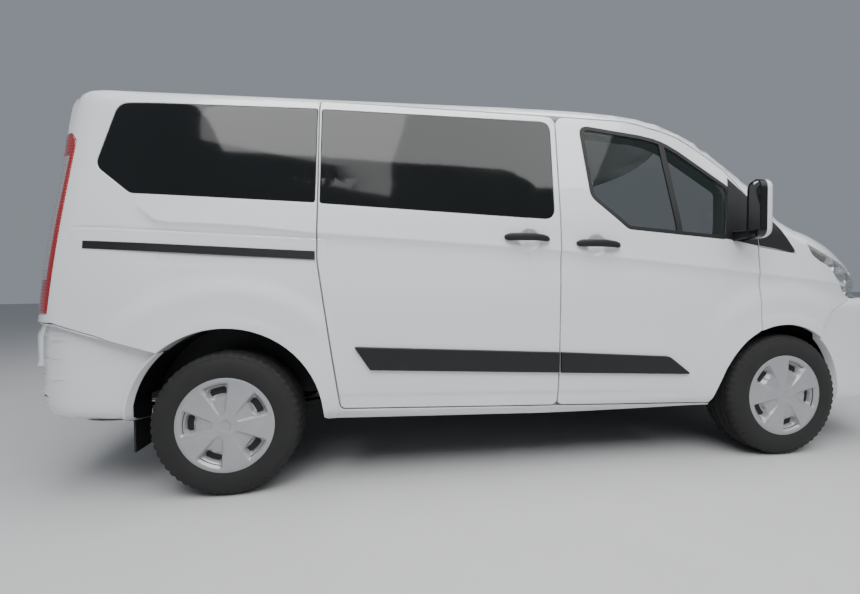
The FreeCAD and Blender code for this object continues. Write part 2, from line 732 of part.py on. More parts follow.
def build_front(wheels):
    """Cowl, bonnet, wings, headlamps, front bumper and grille."""
    wide = bonnet_half_width
    cowl_area = plan_prism([(1300, -wide), (2200, -wide), (2200, wide), (1300, wide)], 1000, 1600)
    as_node("cowl", middle_wall(cowl_area.common(disc_region(cowl_front, cowl_back)), wing_wall))
    bonnet_area = block(1400, far, -wide, wide, 900, 1600).cut(disc_region(bonnet_back))
    bonnet_area = bonnet_area.common(side_prism(above_bonnet_line(0), -far, far))
    pins = []
    for side in (-1, 1):
        ends = [(bonnet_axis[0], side * y, bonnet_axis[1]) for y in bonnet_pin_y]
        pins.append((rod(*ends, tailgate_pin_radius), rod(*ends, tailgate_pin_radius + running_clearance)))
    bonnet = middle_wall(bonnet_area, bonnet_wall)
    as_node("bonnet", bonnet.cut(pins[0][1]).cut(pins[1][1]))

    lamp_area = side_prism(headlamp_outline(), grille_half_width, far)
    as_node("headlamps", both_sides(wall(lamp_area, lamp_depth)))

    shut = front_shut_x + half_gap
    bumper_back = bumper_line[0][0]
    bumper_outline = [(bumper_back, 0), (2800, 0), *reversed(bumper_line), (bumper_back, 560)]
    head_x, foot_x = pillar_head[0] + half_gap, pillar_foot[0] + half_gap
    wing_outline = [(shut, wing_foot_z), (2800, wing_foot_z), (2800, 1500), (head_x, 1500), (head_x, pillar_head[1]),
                    (foot_x, pillar_foot[1] - half_gap), (shut, wing_top_z - half_gap)]
    wing_area = side_prism(wing_outline, grille_half_width, far).cut(side_prism(bumper_outline, 0, far))
    wing_area = wing_area.cut(lamp_area)
    wing_area = wing_area.cut(plan_prism([(1700, 0), (2900, 0), (2900, wide + bonnet_gap), (1700, wide + bonnet_gap)],
                                         900, 1700))
    wing_area = wing_area.cut(plan_prism([(1200, 0), (1701, 0), (1701, wide + bonnet_gap), screen_foot,
                                          (screen_top[0], roof_edge_y)], 900, 1700))
    wing = wall(wing_area, wing_wall).cut(wheels).fuse(pins[1][0])
    as_node("wing_left", wing)
    as_node("wing_right", mirrored(wing))

    mouth = block(1800, far, -grille_half_width, grille_half_width, grille_foot_z, 1300)
    lower_mouth = block(2200, far, -grille_half_width, grille_half_width, *lower_mouth_z)
    bumper = middle_wall(side_prism(bumper_outline, -far, far), bumper_wall).cut(mouth).cut(lower_mouth)
    as_node("bumper_front", bumper.cut(wheels).cut(mirrored(wheels)))
    below_bonnet = block(1300, far, -far, far, 0, 1700).cut(side_prism(above_bonnet_line(bonnet_gap), -far, far))
    frame = middle_wall(mouth.common(below_bonnet), bumper_wall)
    edge = grille_half_width - 25
    slots = [block(1800, far, -edge, edge, z, z + grille_slot) for z in grille_slot_z]
    bars = [middle_wall(lower_mouth.common(block(2200, far, -far, far, z, z + 18)), bumper_wall)
            for z in lower_bar_z]
    as_node("grille", Part.makeCompound([frame.cut(fuse(slots))] + bars))


def build_tailgate():
    axis_x, axis_z = tailgate_axis
    edge_x = axis_x - tailgate_back_of_axis
    outside = block(-far, edge_x, -tailgate_half_width, tailgate_half_width, tailgate_foot_z, far)
    outside = middle_wall(outside, plate)
    inner_area = block(-far, edge_x, -tailgate_inner_half_width, tailgate_inner_half_width,
                       tailgate_foot_z + 30, 1890)
    inside = body_form(plate).common(inner_area).cut(body_form(tailgate_wall))
    hole = cross_prism(inset_outline(tailgate_window, window_rebate), -far, -2000)
    pane_area = cross_prism(tailgate_window, -far, -2000)
    pane = middle_wall(pane_area, glass_wall)
    eye_x, eye_z = strut_eye
    stud = rod((eye_x, tailgate_inner_half_width - 10, eye_z),
               (eye_x, strut_y - strut_ball_radius - strut_clearance, eye_z), strut_stud_radius)
    stud = stud.fuse(block(eye_x - 40, eye_x + 8, tailgate_inner_half_width - 20, tailgate_inner_half_width,
                           eye_z - 12, eye_z + 12))
    gate = outside.multiFuse([inside, stud, mirrored(stud)]).cut(hole).cut(pane)
    ring_in, ring_out = tailgate_pin_y[0] + 7, tailgate_pin_y[1] - 7
    for side in (-1, 1):
        ends = [(axis_x, side * ring_in, axis_z), (axis_x, side * ring_out, axis_z)]
        web = block(axis_x - 20, axis_x - 4, *sorted((side * ring_in, side * ring_out)), axis_z - 30, axis_z)
        gate = gate.multiFuse([rod(*ends, tailgate_ring_radius), web])
        gate = gate.cut(rod(*ends, tailgate_pin_radius + running_clearance))
    as_node("tailgate", gate)
    as_node("tailgate_glass", pane)


def build_body():
    front_wheel = front_wheel_cut()
    rear_wheel = rear_wheel_cut()
    wheels = front_wheel.fuse(rear_wheel)
    lamp_edge = tailgate_half_width + tailgate_gap
    lamps = wall(side_prism(tail_lamp_line, lamp_edge, far), lamp_depth)
    as_node("tail_lamps", both_sides(lamps))
    bumper_area = side_prism(rear_bumper_line, lamp_edge, far)
    middle = block(-far, -2150, -lamp_edge, lamp_edge, 0, tailgate_foot_z - tailgate_gap)
    region = fuse([bumper_area, mirrored(bumper_area), middle])
    bumper = middle_wall(region, bumper_wall)
    as_node("bumper_rear", bumper.cut(rear_wheel).cut(mirrored(rear_wheel)))
    build_sides(wheels, lamps, bumper_area)
    build_doors(front_wheel)
    build_roof()
    build_front(front_wheel)
    build_tailgate()


def build_gas_struts():
    foot_x, foot_z = strut_foot
    eye_x, eye_z = strut_eye
    reach = math.hypot(eye_x - foot_x, eye_z - foot_z)
    along = Vector((eye_x - foot_x) / reach, 0, (eye_z - foot_z) / reach)
    for word, y in (("left", strut_y), ("right", -strut_y)):
        foot = Vector(foot_x, y, foot_z)
        eye = Vector(eye_x, y, eye_z)
        tube = Part.makeCylinder(strut_tube_radius, strut_tube_length, foot, along)
        bore = Part.makeCylinder(strut_rod_radius + running_clearance, strut_tube_length, foot + along * 20, along)
        tube = tube.fuse(Part.makeSphere(strut_knuckle_radius, foot)).cut(bore)
        pin_hole = rod(foot - Vector(0, 50, 0), foot + Vector(0, 50, 0), strut_pin_radius + running_clearance)
        as_node("strut_tube_" + word, tube.cut(pin_hole))
        bar = Part.makeCylinder(strut_rod_radius, strut_rod_length, eye - along * strut_rod_length, along)
        as_node("strut_rod_" + word, bar.fuse(Part.makeSphere(strut_ball_radius, eye)))


def build_floor(wheels):
    """Floor with its rails and crossmembers, cut for the wheels, resting on the sills."""
    low = floor_z - floor_thickness
    deck = block(-2340, 1090, -floor_half_width, floor_half_width, low, floor_z)
    deck = deck.common(body_form(door_wall))
    parts = [deck.cut(wheels).cut(mirrored(wheels))]
    for side in (-1, 1):
        inner, outer = sorted((side * rail_y[0], side * rail_y[1]))
        parts.append(block(rail_back_x, rail_front_x, inner, outer, low - rail_height, low))
    for x in (rail_back_x, -700, 100, 700):
        parts.append(block(x, x + 60, -rail_y[0], rail_y[0], low - 30, low))
    as_node("floor", fuse(parts))


def liner(axle_x, radius, inner_y):
    """Half-round liner of one left wheel, open below, with its inner wall."""
    def space(r, y_from, y_to):
        drum = rod((axle_x, y_from, wheel_z), (axle_x, y_to, wheel_z), r)
        return drum.fuse(block(axle_x - r, axle_x + r, y_from, y_to, liner_foot_z - 200, wheel_z))
    outside = space(radius, inner_y, liner_edge_y)
    inside = space(radius - liner_wall, inner_y + liner_wall, liner_edge_y + 10)
    above = block(-far, far, 0, far, liner_foot_z, far)
    return outside.cut(inside).common(above)


def build_liners():
    """Wheel arch liners, with a mud flap behind each rear wheel."""
    front = liner(front_axle_x, front_liner_radius, front_house_y)
    tower = rod((front_axle_x, kingpin_top[0], 600), (front_axle_x, kingpin_top[0], 1000), 75)
    front = front.cut(tower).common(body_form(wing_wall))
    rear = liner(rear_axle_x, rear_liner_radius, rear_house_y).common(body_form(door_wall))
    spring_gap = block(rear_axle_x - 70, rear_axle_x + 70, 0, 700, 0, 480)
    rear = rear.cut(spring_gap)
    flap_x = rear_axle_x - mud_flap_behind
    rear = rear.fuse(block(flap_x, flap_x + mud_flap_wall, *mud_flap_y, *mud_flap_z))
    as_node("arch_liners", Part.makeCompound([front, mirrored(front), rear, mirrored(rear)]))


def kingpin_point(z, side=1):
    """Point of the steering axis at a height."""
    (low_y, low_z), (top_y, top_z) = kingpin_low, kingpin_top
    return Vector(front_axle_x, side * (low_y + (top_y - low_y) * (z - low_z) / (top_z - low_z)), z)


def build_front_frame():
    """Bulkhead, two rails, strut towers, crossmembers and lower arms."""
    low = floor_z - floor_thickness
    bulkhead = block(*bulkhead_x, -bulkhead_half_width, bulkhead_half_width, low - rail_height, bulkhead_top_z)
    bulkhead = bulkhead.common(body_form(door_wall))
    house = rod((front_axle_x, front_house_y, wheel_z), (front_axle_x, 1000, wheel_z), front_liner_radius + 1)
    toe = side_prism(toe_board, -front_house_y, front_house_y)
    rail_in, rail_out = front_rail_y
    parts = [bulkhead.cut(house).cut(mirrored(house)), toe]
    parts.append(block(*beam_x, -beam_half_width, beam_half_width, *beam_z))
    parts.append(block(*subframe_x, -rail_in, rail_in, subframe_z, subframe_z + subframe_thickness))
    for side in (-1, 1):
        def slab(x_from, x_to, y_in, y_out, z_from, z_to):
            return block(x_from, x_to, *sorted((side * y_in, side * y_out)), z_from, z_to)
        parts.append(slab(rail_front_x, bulkhead_x[0] + 10, rail_in, rail_out, low - rail_height, low))
        parts.append(slab(bulkhead_x[0], beam_x[0] + 40, rail_in, rail_out, *front_rail_z))
        parts.append(slab(*tower_x, *tower_wall_y, tower_wall_y[0], tower_z + tower_thickness))
        parts.append(slab(*subframe_x, rail_in, tower_wall_y[0], subframe_z, beam_z[0]))
        tower = slab(*tower_top_x, tower_wall_y[0], tower_top_y, tower_z, tower_z + tower_thickness)
        top = kingpin_point(kingpin_top[1], side)
        low_end = kingpin_point(tower_z - 60, side)
        parts.append(tower.cut(rod(low_end, top + (top - low_end), tower_rod_radius + running_clearance)))
        arm_z = kingpin_low[1] - arm_drop
        parts.append(plan_prism([(x, side * y) for x, y in arm_plan], arm_z, arm_z + arm_thickness))
        parts.append(slab(*subframe_x, rail_in, tower_wall_y[0], arm_z, subframe_z + 10))
        ball = kingpin_point(kingpin_low[1] - 15, side)
        parts.append(rod(ball, kingpin_point(kingpin_low[1] + 30, side), ball_pin_radius))
    from_x, to_x, y, z = towing_boss
    parts.append(rod((from_x, y, z), (to_x, y, z), towing_boss_radius))
    as_node("front_frame", fuse(parts).cut(rod((to_x - towing_depth, y, z), (to_x + 10, y, z), towing_hole)))


def build_knuckles():
    """Each steering knuckle: socket on the lower ball pin, upright, stub axle and suspension strut."""
    for word, side in (("left", 1), ("right", -1)):
        foot = kingpin_point(kingpin_low[1] + 4, side)
        knee = kingpin_point(upright_top_z, side)
        upright = rod(foot, knee, upright_radius)
        strut = rod(kingpin_point(upright_top_z - 20, side), kingpin_point(tower_z - 70, side), strut_body_radius)
        rod_top = rod(kingpin_point(tower_z - 80, side), kingpin_point(tower_z + 40, side), tower_rod_radius)
        centre_y = side * abs(kingpin_point(wheel_z).y)
        stub = rod((front_axle_x, centre_y, wheel_z), (front_axle_x, side * stub_end_y, wheel_z), stub_radius)
        body = fuse([upright, strut, rod_top, stub])
        socket = rod(kingpin_point(kingpin_low[1] - 20, side), kingpin_point(kingpin_low[1] + 34, side),
                     ball_pin_radius + running_clearance)
        as_node("knuckle_" + word, body.cut(socket))


def build_rear_axle():
    """Beam with stub ends, on two leaf springs that hang from the rails."""
    beam = rod((rear_axle_x, -hub_inner_y, wheel_z), (rear_axle_x, hub_inner_y, wheel_z), axle_radius)
    stubs = rod((rear_axle_x, -stub_end_y, wheel_z), (rear_axle_x, stub_end_y, wheel_z), stub_radius)
    parts = [beam, stubs]
    spring_y = (rail_y[0] + rail_y[1]) / 2
    rail_foot = floor_z - floor_thickness - rail_height
    back_x, front_x = rear_axle_x - leaf_reach[0], rear_axle_x + leaf_reach[1]
    upper_z, lower_z, seat_z = (wheel_z - drop for drop in leaf_drop)
    upper_eye, lower_eye = (rail_foot - drop for drop in leaf_eye_drop)
    half_eye, eye_height = leaf_eye
    seat_x = (rear_axle_x - leaf_seat_half_length, rear_axle_x + leaf_seat_half_length)
    for side in (-1, 1):
        y_from, y_to = sorted((side * (spring_y - leaf_half_width), side * (spring_y + leaf_half_width)))
        arc_top = Part.Arc(Vector(back_x, y_from, upper_eye), Vector(rear_axle_x, y_from, upper_z),
                           Vector(front_x, y_from, upper_eye)).toShape()
        arc_low = Part.Arc(Vector(back_x, y_from, lower_eye), Vector(rear_axle_x, y_from, lower_z),
                           Vector(front_x, y_from, lower_eye)).toShape()
        ends = [Part.makeLine(Vector(x, y_from, upper_eye), Vector(x, y_from, lower_eye)) for x in (back_x, front_x)]
        strip = Part.Face(Part.Wire(Part.__sortEdges__([arc_top, ends[0], arc_low, ends[1]])))
        parts.append(strip.extrude(Vector(0, y_to - y_from, 0)))
        for x in (back_x, front_x):
            parts.append(block(x - half_eye, x + half_eye, y_from, y_to, rail_foot - eye_height, rail_foot))
        parts.append(block(*seat_x, y_from, y_to, seat_z, wheel_z))
    as_node("rear_axle", fuse(parts))


def ring_profile(points):
    """Solid turned round the Y axis from a closed outline of (y, radius)."""
    wire = Part.makePolygon([Vector(0, y, radius) for y, radius in points + points[:1]])
    return Part.Face(wire).revolve(Vector(0, 0, 0), Vector(0, 1, 0), 360)


def left_wheel():
    """Tyre and rim of a wheel on the left, centred on the origin, its outer face towards +Y."""
    half = tyre_width / 2
    tyre = ring_profile([(-half + rim_flange, rim_radius), (-half, rim_radius + 45), (-half, wheel_radius - 48),
                         (-half + 22, wheel_radius - 8), (-half + 50, wheel_radius), (half - 50, wheel_radius),
                         (half - 22, wheel_radius - 8), (half, wheel_radius - 48), (half, rim_radius + 45),
                         (half - rim_flange, rim_radius)])
    hub_in = hub_inner_y + hub_gap - wheel_y
    stub_end = stub_end_y + hub_gap - wheel_y
    disc_in, disc_out = rim_disc_y
    disc_foot, disc_knee, disc_head = rim_disc_edge
    brake_in, brake_out = (hub_in + distance for distance in brake_disc_y)
    bore = stub_radius + running_clearance
    rim = ring_profile([(-half + rim_flange, rim_radius), (half - rim_flange, rim_radius),
                        (half - rim_flange, disc_head), (disc_out, disc_knee), (disc_out, hub_cap_radius),
                        (stub_end + hub_cap_wall, hub_cap_radius), (stub_end + hub_cap_wall, 0), (stub_end, 0),
                        (stub_end, bore), (hub_in, bore), (hub_in, hub_radius), (brake_in, hub_radius),
                        (brake_in, brake_disc_radius), (brake_out, brake_disc_radius), (brake_out, hub_radius),
                        (disc_in, hub_radius), (disc_in, disc_foot), (half - 24, barrel_radius),
                        (-half + rim_flange, barrel_radius)])
    cover = ring_profile([(half - rim_flange, rim_radius), (half - 7.6, cover_radius), (half - 4, cover_radius),
                          (half - 1, 198),
                          (half + 1, 120), (half + 3, 60), (half + 3, 0), (half - 6, 0), (half - 6, 60),
                          (half - 9, 120), (half - 12, 185), (half - 14, 190)])
    pockets = []
    for number in range(cover_spokes):
        pocket = plan_prism(cover_pocket, half - 40, half + 40)
        pocket.rotate(Vector(0, 0, 0), Vector(1, 0, 0), -90)
        pocket.rotate(Vector(0, 0, 0), Vector(0, 1, 0), 360 / cover_spokes * number + 90)
        pockets.append(pocket)
    return tyre, rim, cover.cut(fuse(pockets))


def build_wheels():
    tyre, rim, cover = left_wheel()
    rim = rim.fuse(cover)
    for place, x in (("front", front_axle_x), ("rear", rear_axle_x)):
        for word, turn in (("left", lambda shape: shape), ("right", mirrored)):
            for name, shape in (("tyre_", tyre), ("rim_", rim)):
                moved = shape.copy()
                moved.translate(Vector(x, wheel_y, wheel_z))
                as_node(name + place + "_" + word, turn(moved))


def build_steering():
    """Steering wheel with its shaft, which turns in a cowled column on the dashboard."""
    tilt = math.radians(steer_tilt)
    to_driver = Vector(-math.cos(tilt), 0, math.sin(tilt))
    rim = Part.makeTorus(steer_radius, steer_rim, steer_centre, to_driver)
    hub_size, hub_height, hub_foot = steer_hub
    spoke_radius, spoke_drop = steer_spoke
    hub = Part.makeCylinder(hub_size, hub_height, steer_centre - to_driver * hub_foot, to_driver)
    across = to_driver.cross(Vector(0, 1, 0))
    spokes = []
    for direction in (Vector(0, 1, 0), Vector(0, -1, 0), across * (1 if across.z < 0 else -1)):
        spoke_foot = steer_centre - to_driver * spoke_drop
        spokes.append(Part.makeCylinder(spoke_radius, steer_radius - 4, spoke_foot, direction))
    shaft_foot = steer_centre - to_driver * (shaft_length + 30)
    shaft = Part.makeCylinder(shaft_radius, shaft_length, shaft_foot, to_driver)
    middle = fuse([hub, shaft] + spokes)
    as_node("steering_wheel", middle.fuse(rim))
    shroud_radius, shorter = steer_shroud
    start = steer_centre - to_driver * shaft_length
    shroud = Part.makeCylinder(shroud_radius, shaft_length - shorter, start, to_driver)
    bore = Part.makeCylinder(shaft_radius + running_clearance, far, start - to_driver * 1000, to_driver)
    return shroud, bore


def build_dashboard():
    dash = side_prism(dash_outline, -dash_half_width, dash_half_width).common(body_form(door_wall))
    shroud, bore = build_steering()
    as_node("dashboard", dash.fuse(shroud).cut(bore))


def seat(y_from, y_to, x, places):
    """Base, cushion, leaning backrest and head restraints; x is the cushion's front edge."""
    def moved(corners):
        return [(x + along, z, radius) for along, z, radius in corners]

    base_back, base_front, inset, base_top = seat_base
    base = block(x + base_back, x + base_front, y_from + inset, y_to - inset, floor_z, base_top)
    parts = [side_prism(moved(seat_cushion), y_from, y_to), side_prism(moved(seat_back), y_from, y_to), base]
    width = (y_to - y_from) / places
    (low_along, low_z), (high_along, high_z) = head_rest_post
    for number in range(places):
        middle = y_from + width * (number + 0.5)
        parts.append(side_prism(moved(head_rest), middle - head_rest_half_width, middle + head_rest_half_width))
        for y in (middle - head_rest_post_y, middle + head_rest_post_y):
            parts.append(rod((x + low_along, y, low_z), (x + high_along, y, high_z), head_rest_post_radius))
    return fuse(parts)


def build_seats():
    for name, rows in seat_rows.items():
        as_node(name, Part.makeCompound([seat(*row) for row in rows]))


def build_underbody():
    as_node("engine", block(*engine_box).fuse(block(*engine_mount)))
    as_node("fuel_tank", block(*tank_box, floor_z - floor_thickness - tank_gap))
    pipes = []
    for start, end in zip(exhaust_path, exhaust_path[1:]):
        pipes.append(rod(start, end, exhaust_radius))
        pipes.append(Part.makeSphere(exhaust_radius, Vector(*end)))
    silencer = rod(*silencer_ends, silencer_radius)
    hangers = [block(*hanger) for hanger in exhaust_hangers]
    as_node("exhaust", fuse(pipes[:-1] + [silencer] + hangers))


def proud(corners, height):
    """A left piece that stands out of the body side by height over an outline in side view."""
    return left_form(-height).common(outboard(corners)).cut(left_form(0.0))


def build_trim():
    """Black mouldings, sliding door rail, handles and mirrors."""
    side_strip = proud(moulding_rear, moulding_height)
    side_rail = mirrored(proud(slide_rail, slide_rail_height))
    handle = mirrored(handle_shape(*sliding_door_handle))
    as_node("side_trim", Part.makeCompound([side_strip, mirrored(side_strip), side_rail, handle]))
    door_strip = proud(moulding_front, moulding_height)
    front_handle = handle_shape(*front_door_handle)
    mirror = mirror_shape()
    for word, place in (("left", lambda shape: shape), ("right", mirrored)):
        as_node("door_trim_" + word, Part.makeCompound([place(door_strip), place(front_handle)]))
        as_node("mirror_" + word, place(mirror))


def handle_shape(x_from, x_to, z):
    """Pull handle on the left: a bar on two feet."""
    half = handle_height / 2
    low, high = z - half, z + half
    bar = proud([(x_from, low, half - 2), (x_to, low, half - 2), (x_to, high, half - 2), (x_from, high, half - 2)],
                moulding_height)
    foot_back, foot_front = handle_feet
    recess = [(x_from + foot_back, low - 6), (x_to - foot_front, low - 6), (x_to - foot_front, high + 6),
              (x_from + foot_back, high + 6)]
    return fuse(bar.cut(left_form(-slide_rail_height).common(outboard(recess))).Solids)


def mirror_shape():
    """Mirror head on its arm, on the sail of the left door."""
    head = cross_prism(mirror_face, *mirror_x).common(side_prism(mirror_side, 0, far))
    arm = block(*mirror_arm).cut(left_form(0.0))
    return head.fuse(arm)


def main():
    wheels = front_wheel_cut().fuse(rear_wheel_cut())
    build_body()
    build_gas_struts()
    build_floor(wheels)
    build_liners()
    build_front_frame()
    build_knuckles()
    build_rear_axle()
    build_wheels()
    build_dashboard()
    build_seats()
    build_underbody()
    build_trim()
    for name, shape in nodes.items():
        shape.exportStep("parts/" + name + ".step")


main()
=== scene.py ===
"""Looks of the minibus: panels wrapped on its smooth body form, wheels, lamps, trim and finishes."""
import math
import bpy
import bmesh
import numpy as np
from mathutils import Matrix, Vector


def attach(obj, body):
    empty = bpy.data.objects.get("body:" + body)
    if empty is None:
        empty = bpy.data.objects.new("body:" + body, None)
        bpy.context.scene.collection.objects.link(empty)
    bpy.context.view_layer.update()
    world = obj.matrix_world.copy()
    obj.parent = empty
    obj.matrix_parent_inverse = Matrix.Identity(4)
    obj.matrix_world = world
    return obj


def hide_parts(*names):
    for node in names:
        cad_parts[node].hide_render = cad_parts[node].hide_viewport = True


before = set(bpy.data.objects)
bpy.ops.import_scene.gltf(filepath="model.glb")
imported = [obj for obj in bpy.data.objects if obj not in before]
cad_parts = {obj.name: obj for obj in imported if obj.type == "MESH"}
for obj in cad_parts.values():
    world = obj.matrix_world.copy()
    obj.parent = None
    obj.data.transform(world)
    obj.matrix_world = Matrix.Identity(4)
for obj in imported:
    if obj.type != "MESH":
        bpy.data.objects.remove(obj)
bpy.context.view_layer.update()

# Sizes are in millimetres, in the frame's axes
MM = 0.001
far = 3000.0

# Body form: corners (u, v, radius) of its profiles, cross-section and plans
front_profile = [(0, 285, 0), (1000, 285, 0), (2290, 256, 40), (2420, 300, 70), (2486.5, 480, 120),
                 (2486.5, 650, 160), (2440, 925, 220), (2335, 1112, 140), (1950, 1264, 300), (1845, 1290, 0),
                 (1330, 1752, 900), (1115, 1872, 400), (845, 1938, 700), (400, 1979, 900), (0, 1979, 0)]
rear_profile = [(0, 1979, 0), (-1500, 1979, 2500), (-2170, 1950, 300), (-2300, 1885, 90), (-2396, 1250, 3000),
                (-2440, 850, 60), (-2486.5, 760, 50), (-2486.5, 480, 90), (-2445, 378, 30), (-1900, 354, 0),
                (0, 267, 0)]
half_section = [(925, 240, 0), (964, 345, 90), (977, 600, 900), (977, 960, 1500), (961, 1290, 900),
                (868, 1850, 70), (838, 1900, 60), (795, 1934, 60), (430, 1980, 2600), (-430, 1980, 0)]
half_plan = [(2560, -540, 0), (2560, 540, 300), (2280, 880, 420), (1500, 992, 2500), (-1850, 992, 1200),
             (-2300, 925, 420), (-2560, 640, 320), (-2560, -640, 0)]
tail_plan = [(2700, 1130, 0), (-1850, 1010, 1200), (-2305, 935, 420), (-2600, 612, 300), (-2600, -612, 0)]
tail_pivot = np.array((-2305.0, 935.0, 900.0))
tail_lean = Vector((0.125, -0.125, 1.0))
tail_bow_x = 1000.0
corner_profile = [(2300, 200, 0), (2300, 800, 0), (1897, 872, 20), (1912, 965, 120), (1868, 1060, 300),
                  (1800, 1175, 400), (1712, 1252, 300), (1600, 1330, 60), (1600, 2200, 0)]
corner_run = (0.589, 0.808)   # the front corner's profile faces this way in plan
corner_blend = 70.0
edge_blend = 24.0           # rounding where two of the shapes meet
tail_blend = 70.0

# Shut lines and windows in side view
sliding_line = [(-946, 384, 30), (146, 345, 40), (172, 1122, 0), (190, 1866, 60), (-1030, 1906, 20),
                (-1046, 1100, 300)]
door_line = [(146, 345, 30), (1017, 311, 0), (1100, 498, 0), (1150, 580, 300), (1218, 648, 300),
             (1305, 699, 0), (1305, 1155, 60), (1278, 1425, 120), (1158, 1585, 500), (879, 1778, 500),
             (600, 1850, 400), (190, 1866, 60), (172, 1122, 0)]
quarter_window = [(-1880, 1411, 60), (-1052, 1374, 15), (-1038, 1855, 15), (-1955, 1850, 70),
                  (-2048, 1545, 60)]
middle_window = [(-1032, 1371, 15), (146, 1297, 60), (160, 1830, 60), (-1020, 1853, 15)]
door_window = [(548, 1250, 60), (1126, 1196, 40), (1172, 1482, 60), (791, 1756, 500), (318, 1820, 50),
               (352, 1421, 90)]
flap_line = [(-110, 800, 25), (50, 800, 25), (50, 960, 25), (-110, 960, 25)]
divider_line = [(827, 1217), (859, 1217), (803, 1749), (771, 1752)]
pillar_plate_line = [(1310, 1164), (1541, 1121, 14), (1402, 1320), (1285, 1424)]
sail_line = [(1112, 1202), (1305, 1162), (1280, 1424), (1163, 1541)]
rear_window = [(-640, 1190, 60), (640, 1190, 60), (610, 1800, 80), (-610, 1800, 80)]    # in rear view
lamp_y = 761.0              # inner edge of the corner that holds the tail lamp
post_from, post_top, post_depth = 1240.0, 1290.0, 118.0

# Depths below the skin, and how far one outline lies inside another
half_gap = 3.0
flap_gap = 8.0
pane_gap = 2.5
window_step, door_step, lining_step = 22, 24, 34
plate = 28.0
wall = 90.0
rebate = 36.0
glass_wall = 6.0
least_reach = 0.5           # a corner whose arc would be shorter stays sharp

# Bonnet, cowl and windscreen in plan: radii about the middle of the vehicle, and half widths
roof_front, screen_foot = 1150.0, 1836.0
cowl_front, bonnet_back = 1927.0, 1960.0
bonnet_wide, wing_inner = 785.0, 791
lamp_inner = 517.0
lamp_bowls = ((1800, 1056, 44), (1893, 990, 62), (1935, 905, 24))    # x, z and radius of each reflector


def corner_turn(before, corner, after):
    """Directions into and out of a corner, the angle between them and the reach of its arc."""
    u, v, radius = corner
    back, on = math.dist(before[:2], (u, v)), math.dist(after[:2], (u, v))
    in_u, in_v = (u - before[0]) / back, (v - before[1]) / back
    out_u, out_v = (after[0] - u) / on, (after[1] - v) / on
    turn = math.acos(max(-1.0, min(1.0, in_u * out_u + in_v * out_v)))
    return (in_u, in_v), (out_u, out_v), turn, min(radius * math.tan(turn / 2), 0.48 * back, 0.48 * on)


class Chain:
    """Signed distance to a run of lines with tangent arcs at its corners, negative on its left."""

    def __init__(self, corners):
        self.lines, self.arcs = [], []
        start = corners[0][:2]
        for before, corner, after in zip(corners, corners[1:], corners[2:]):
            u, v = corner[:2]
            (in_u, in_v), (out_u, out_v), turn, reach = corner_turn(before, corner, after)
            if reach < least_reach:
                self.lines.append((start, (u, v)))
                start = (u, v)
                continue
            self.lines.append((start, (u - reach * in_u, v - reach * in_v)))
            start = (u + reach * out_u, v + reach * out_v)
            round_radius = reach / math.tan(turn / 2)
            size = math.hypot(out_u - in_u, out_v - in_v)
            mid_u, mid_v = (out_u - in_u) / size, (out_v - in_v) / size
            away = round_radius / math.cos(turn / 2)
            side = 1.0 if in_u * out_v - in_v * out_u > 0 else -1.0
            self.arcs.append((u + mid_u * away, v + mid_v * away, round_radius, side, mid_u, mid_v,
                              math.cos(turn / 2)))
        self.lines.append((start, corners[-1][:2]))

    def distance(self, u, v):
        best = np.full(u.shape, 1e9)
        for (u0, v0), (u1, v1) in self.lines:
            size = math.hypot(u1 - u0, v1 - v0)
            along_u, along_v = (u1 - u0) / size, (v1 - v0) / size
            du, dv = u - u0, v - v0
            step = np.clip(du * along_u + dv * along_v, 0.0, size)
            side = np.where(du * along_v - dv * along_u >= 0, 1.0, -1.0)
            here = side * np.hypot(du - step * along_u, dv - step * along_v)
            best = np.where(np.abs(here) < np.abs(best), here, best)
        for cu, cv, radius, side, mid_u, mid_v, reach in self.arcs:
            du, dv = u - cu, v - cv
            size = np.hypot(du, dv) + 1e-9
            here = np.where(-(du * mid_u + dv * mid_v) >= reach * size, side * (size - radius), 1e9)
            best = np.where(np.abs(here) < np.abs(best), here, best)
        return best


def meet(a, b, blend):
    """Where two shapes overlap, with a rounded edge."""
    return np.maximum(a, b) + np.maximum(blend - np.abs(a - b), 0.0) ** 2 / (4 * blend)


section, plan, tail_corner = Chain(half_section), Chain(half_plan), Chain(tail_plan)
nose, tail = Chain(front_profile), Chain(rear_profile)
front_corner = Chain(corner_profile)
lean_back = np.array(Vector((0, 0, 1)).rotation_difference(tail_lean).to_matrix().inverted())


def body_distance(p):
    """Distance outside the body form; negative inside it."""
    x, y, z = p[:, 0], np.abs(p[:, 1]), p[:, 2]
    side = meet(section.distance(y, z), plan.distance(x, y), edge_blend)
    shoulder = np.interp(z, (300, 420, 1300, 1800), (60, 120, 120, edge_blend))
    front = meet(side, nose.distance(np.hypot(x, y), z), shoulder)
    front = meet(front, front_corner.distance(corner_run[0] * x + corner_run[1] * y, z), corner_blend)
    leaned = (np.stack((x, y, z), 1) - tail_pivot) @ lean_back.T + tail_pivot
    back = meet(tail.distance(tail_bow_x - np.hypot(x - tail_bow_x, y), z),
                tail_corner.distance(leaned[:, 0], leaned[:, 1]),
                np.interp(z, (1500, 1800), (tail_blend, edge_blend)))
    back = meet(side, back, np.interp(z, (1500, 1800), (tail_blend, edge_blend)))
    return np.where(x >= 0, front, back)


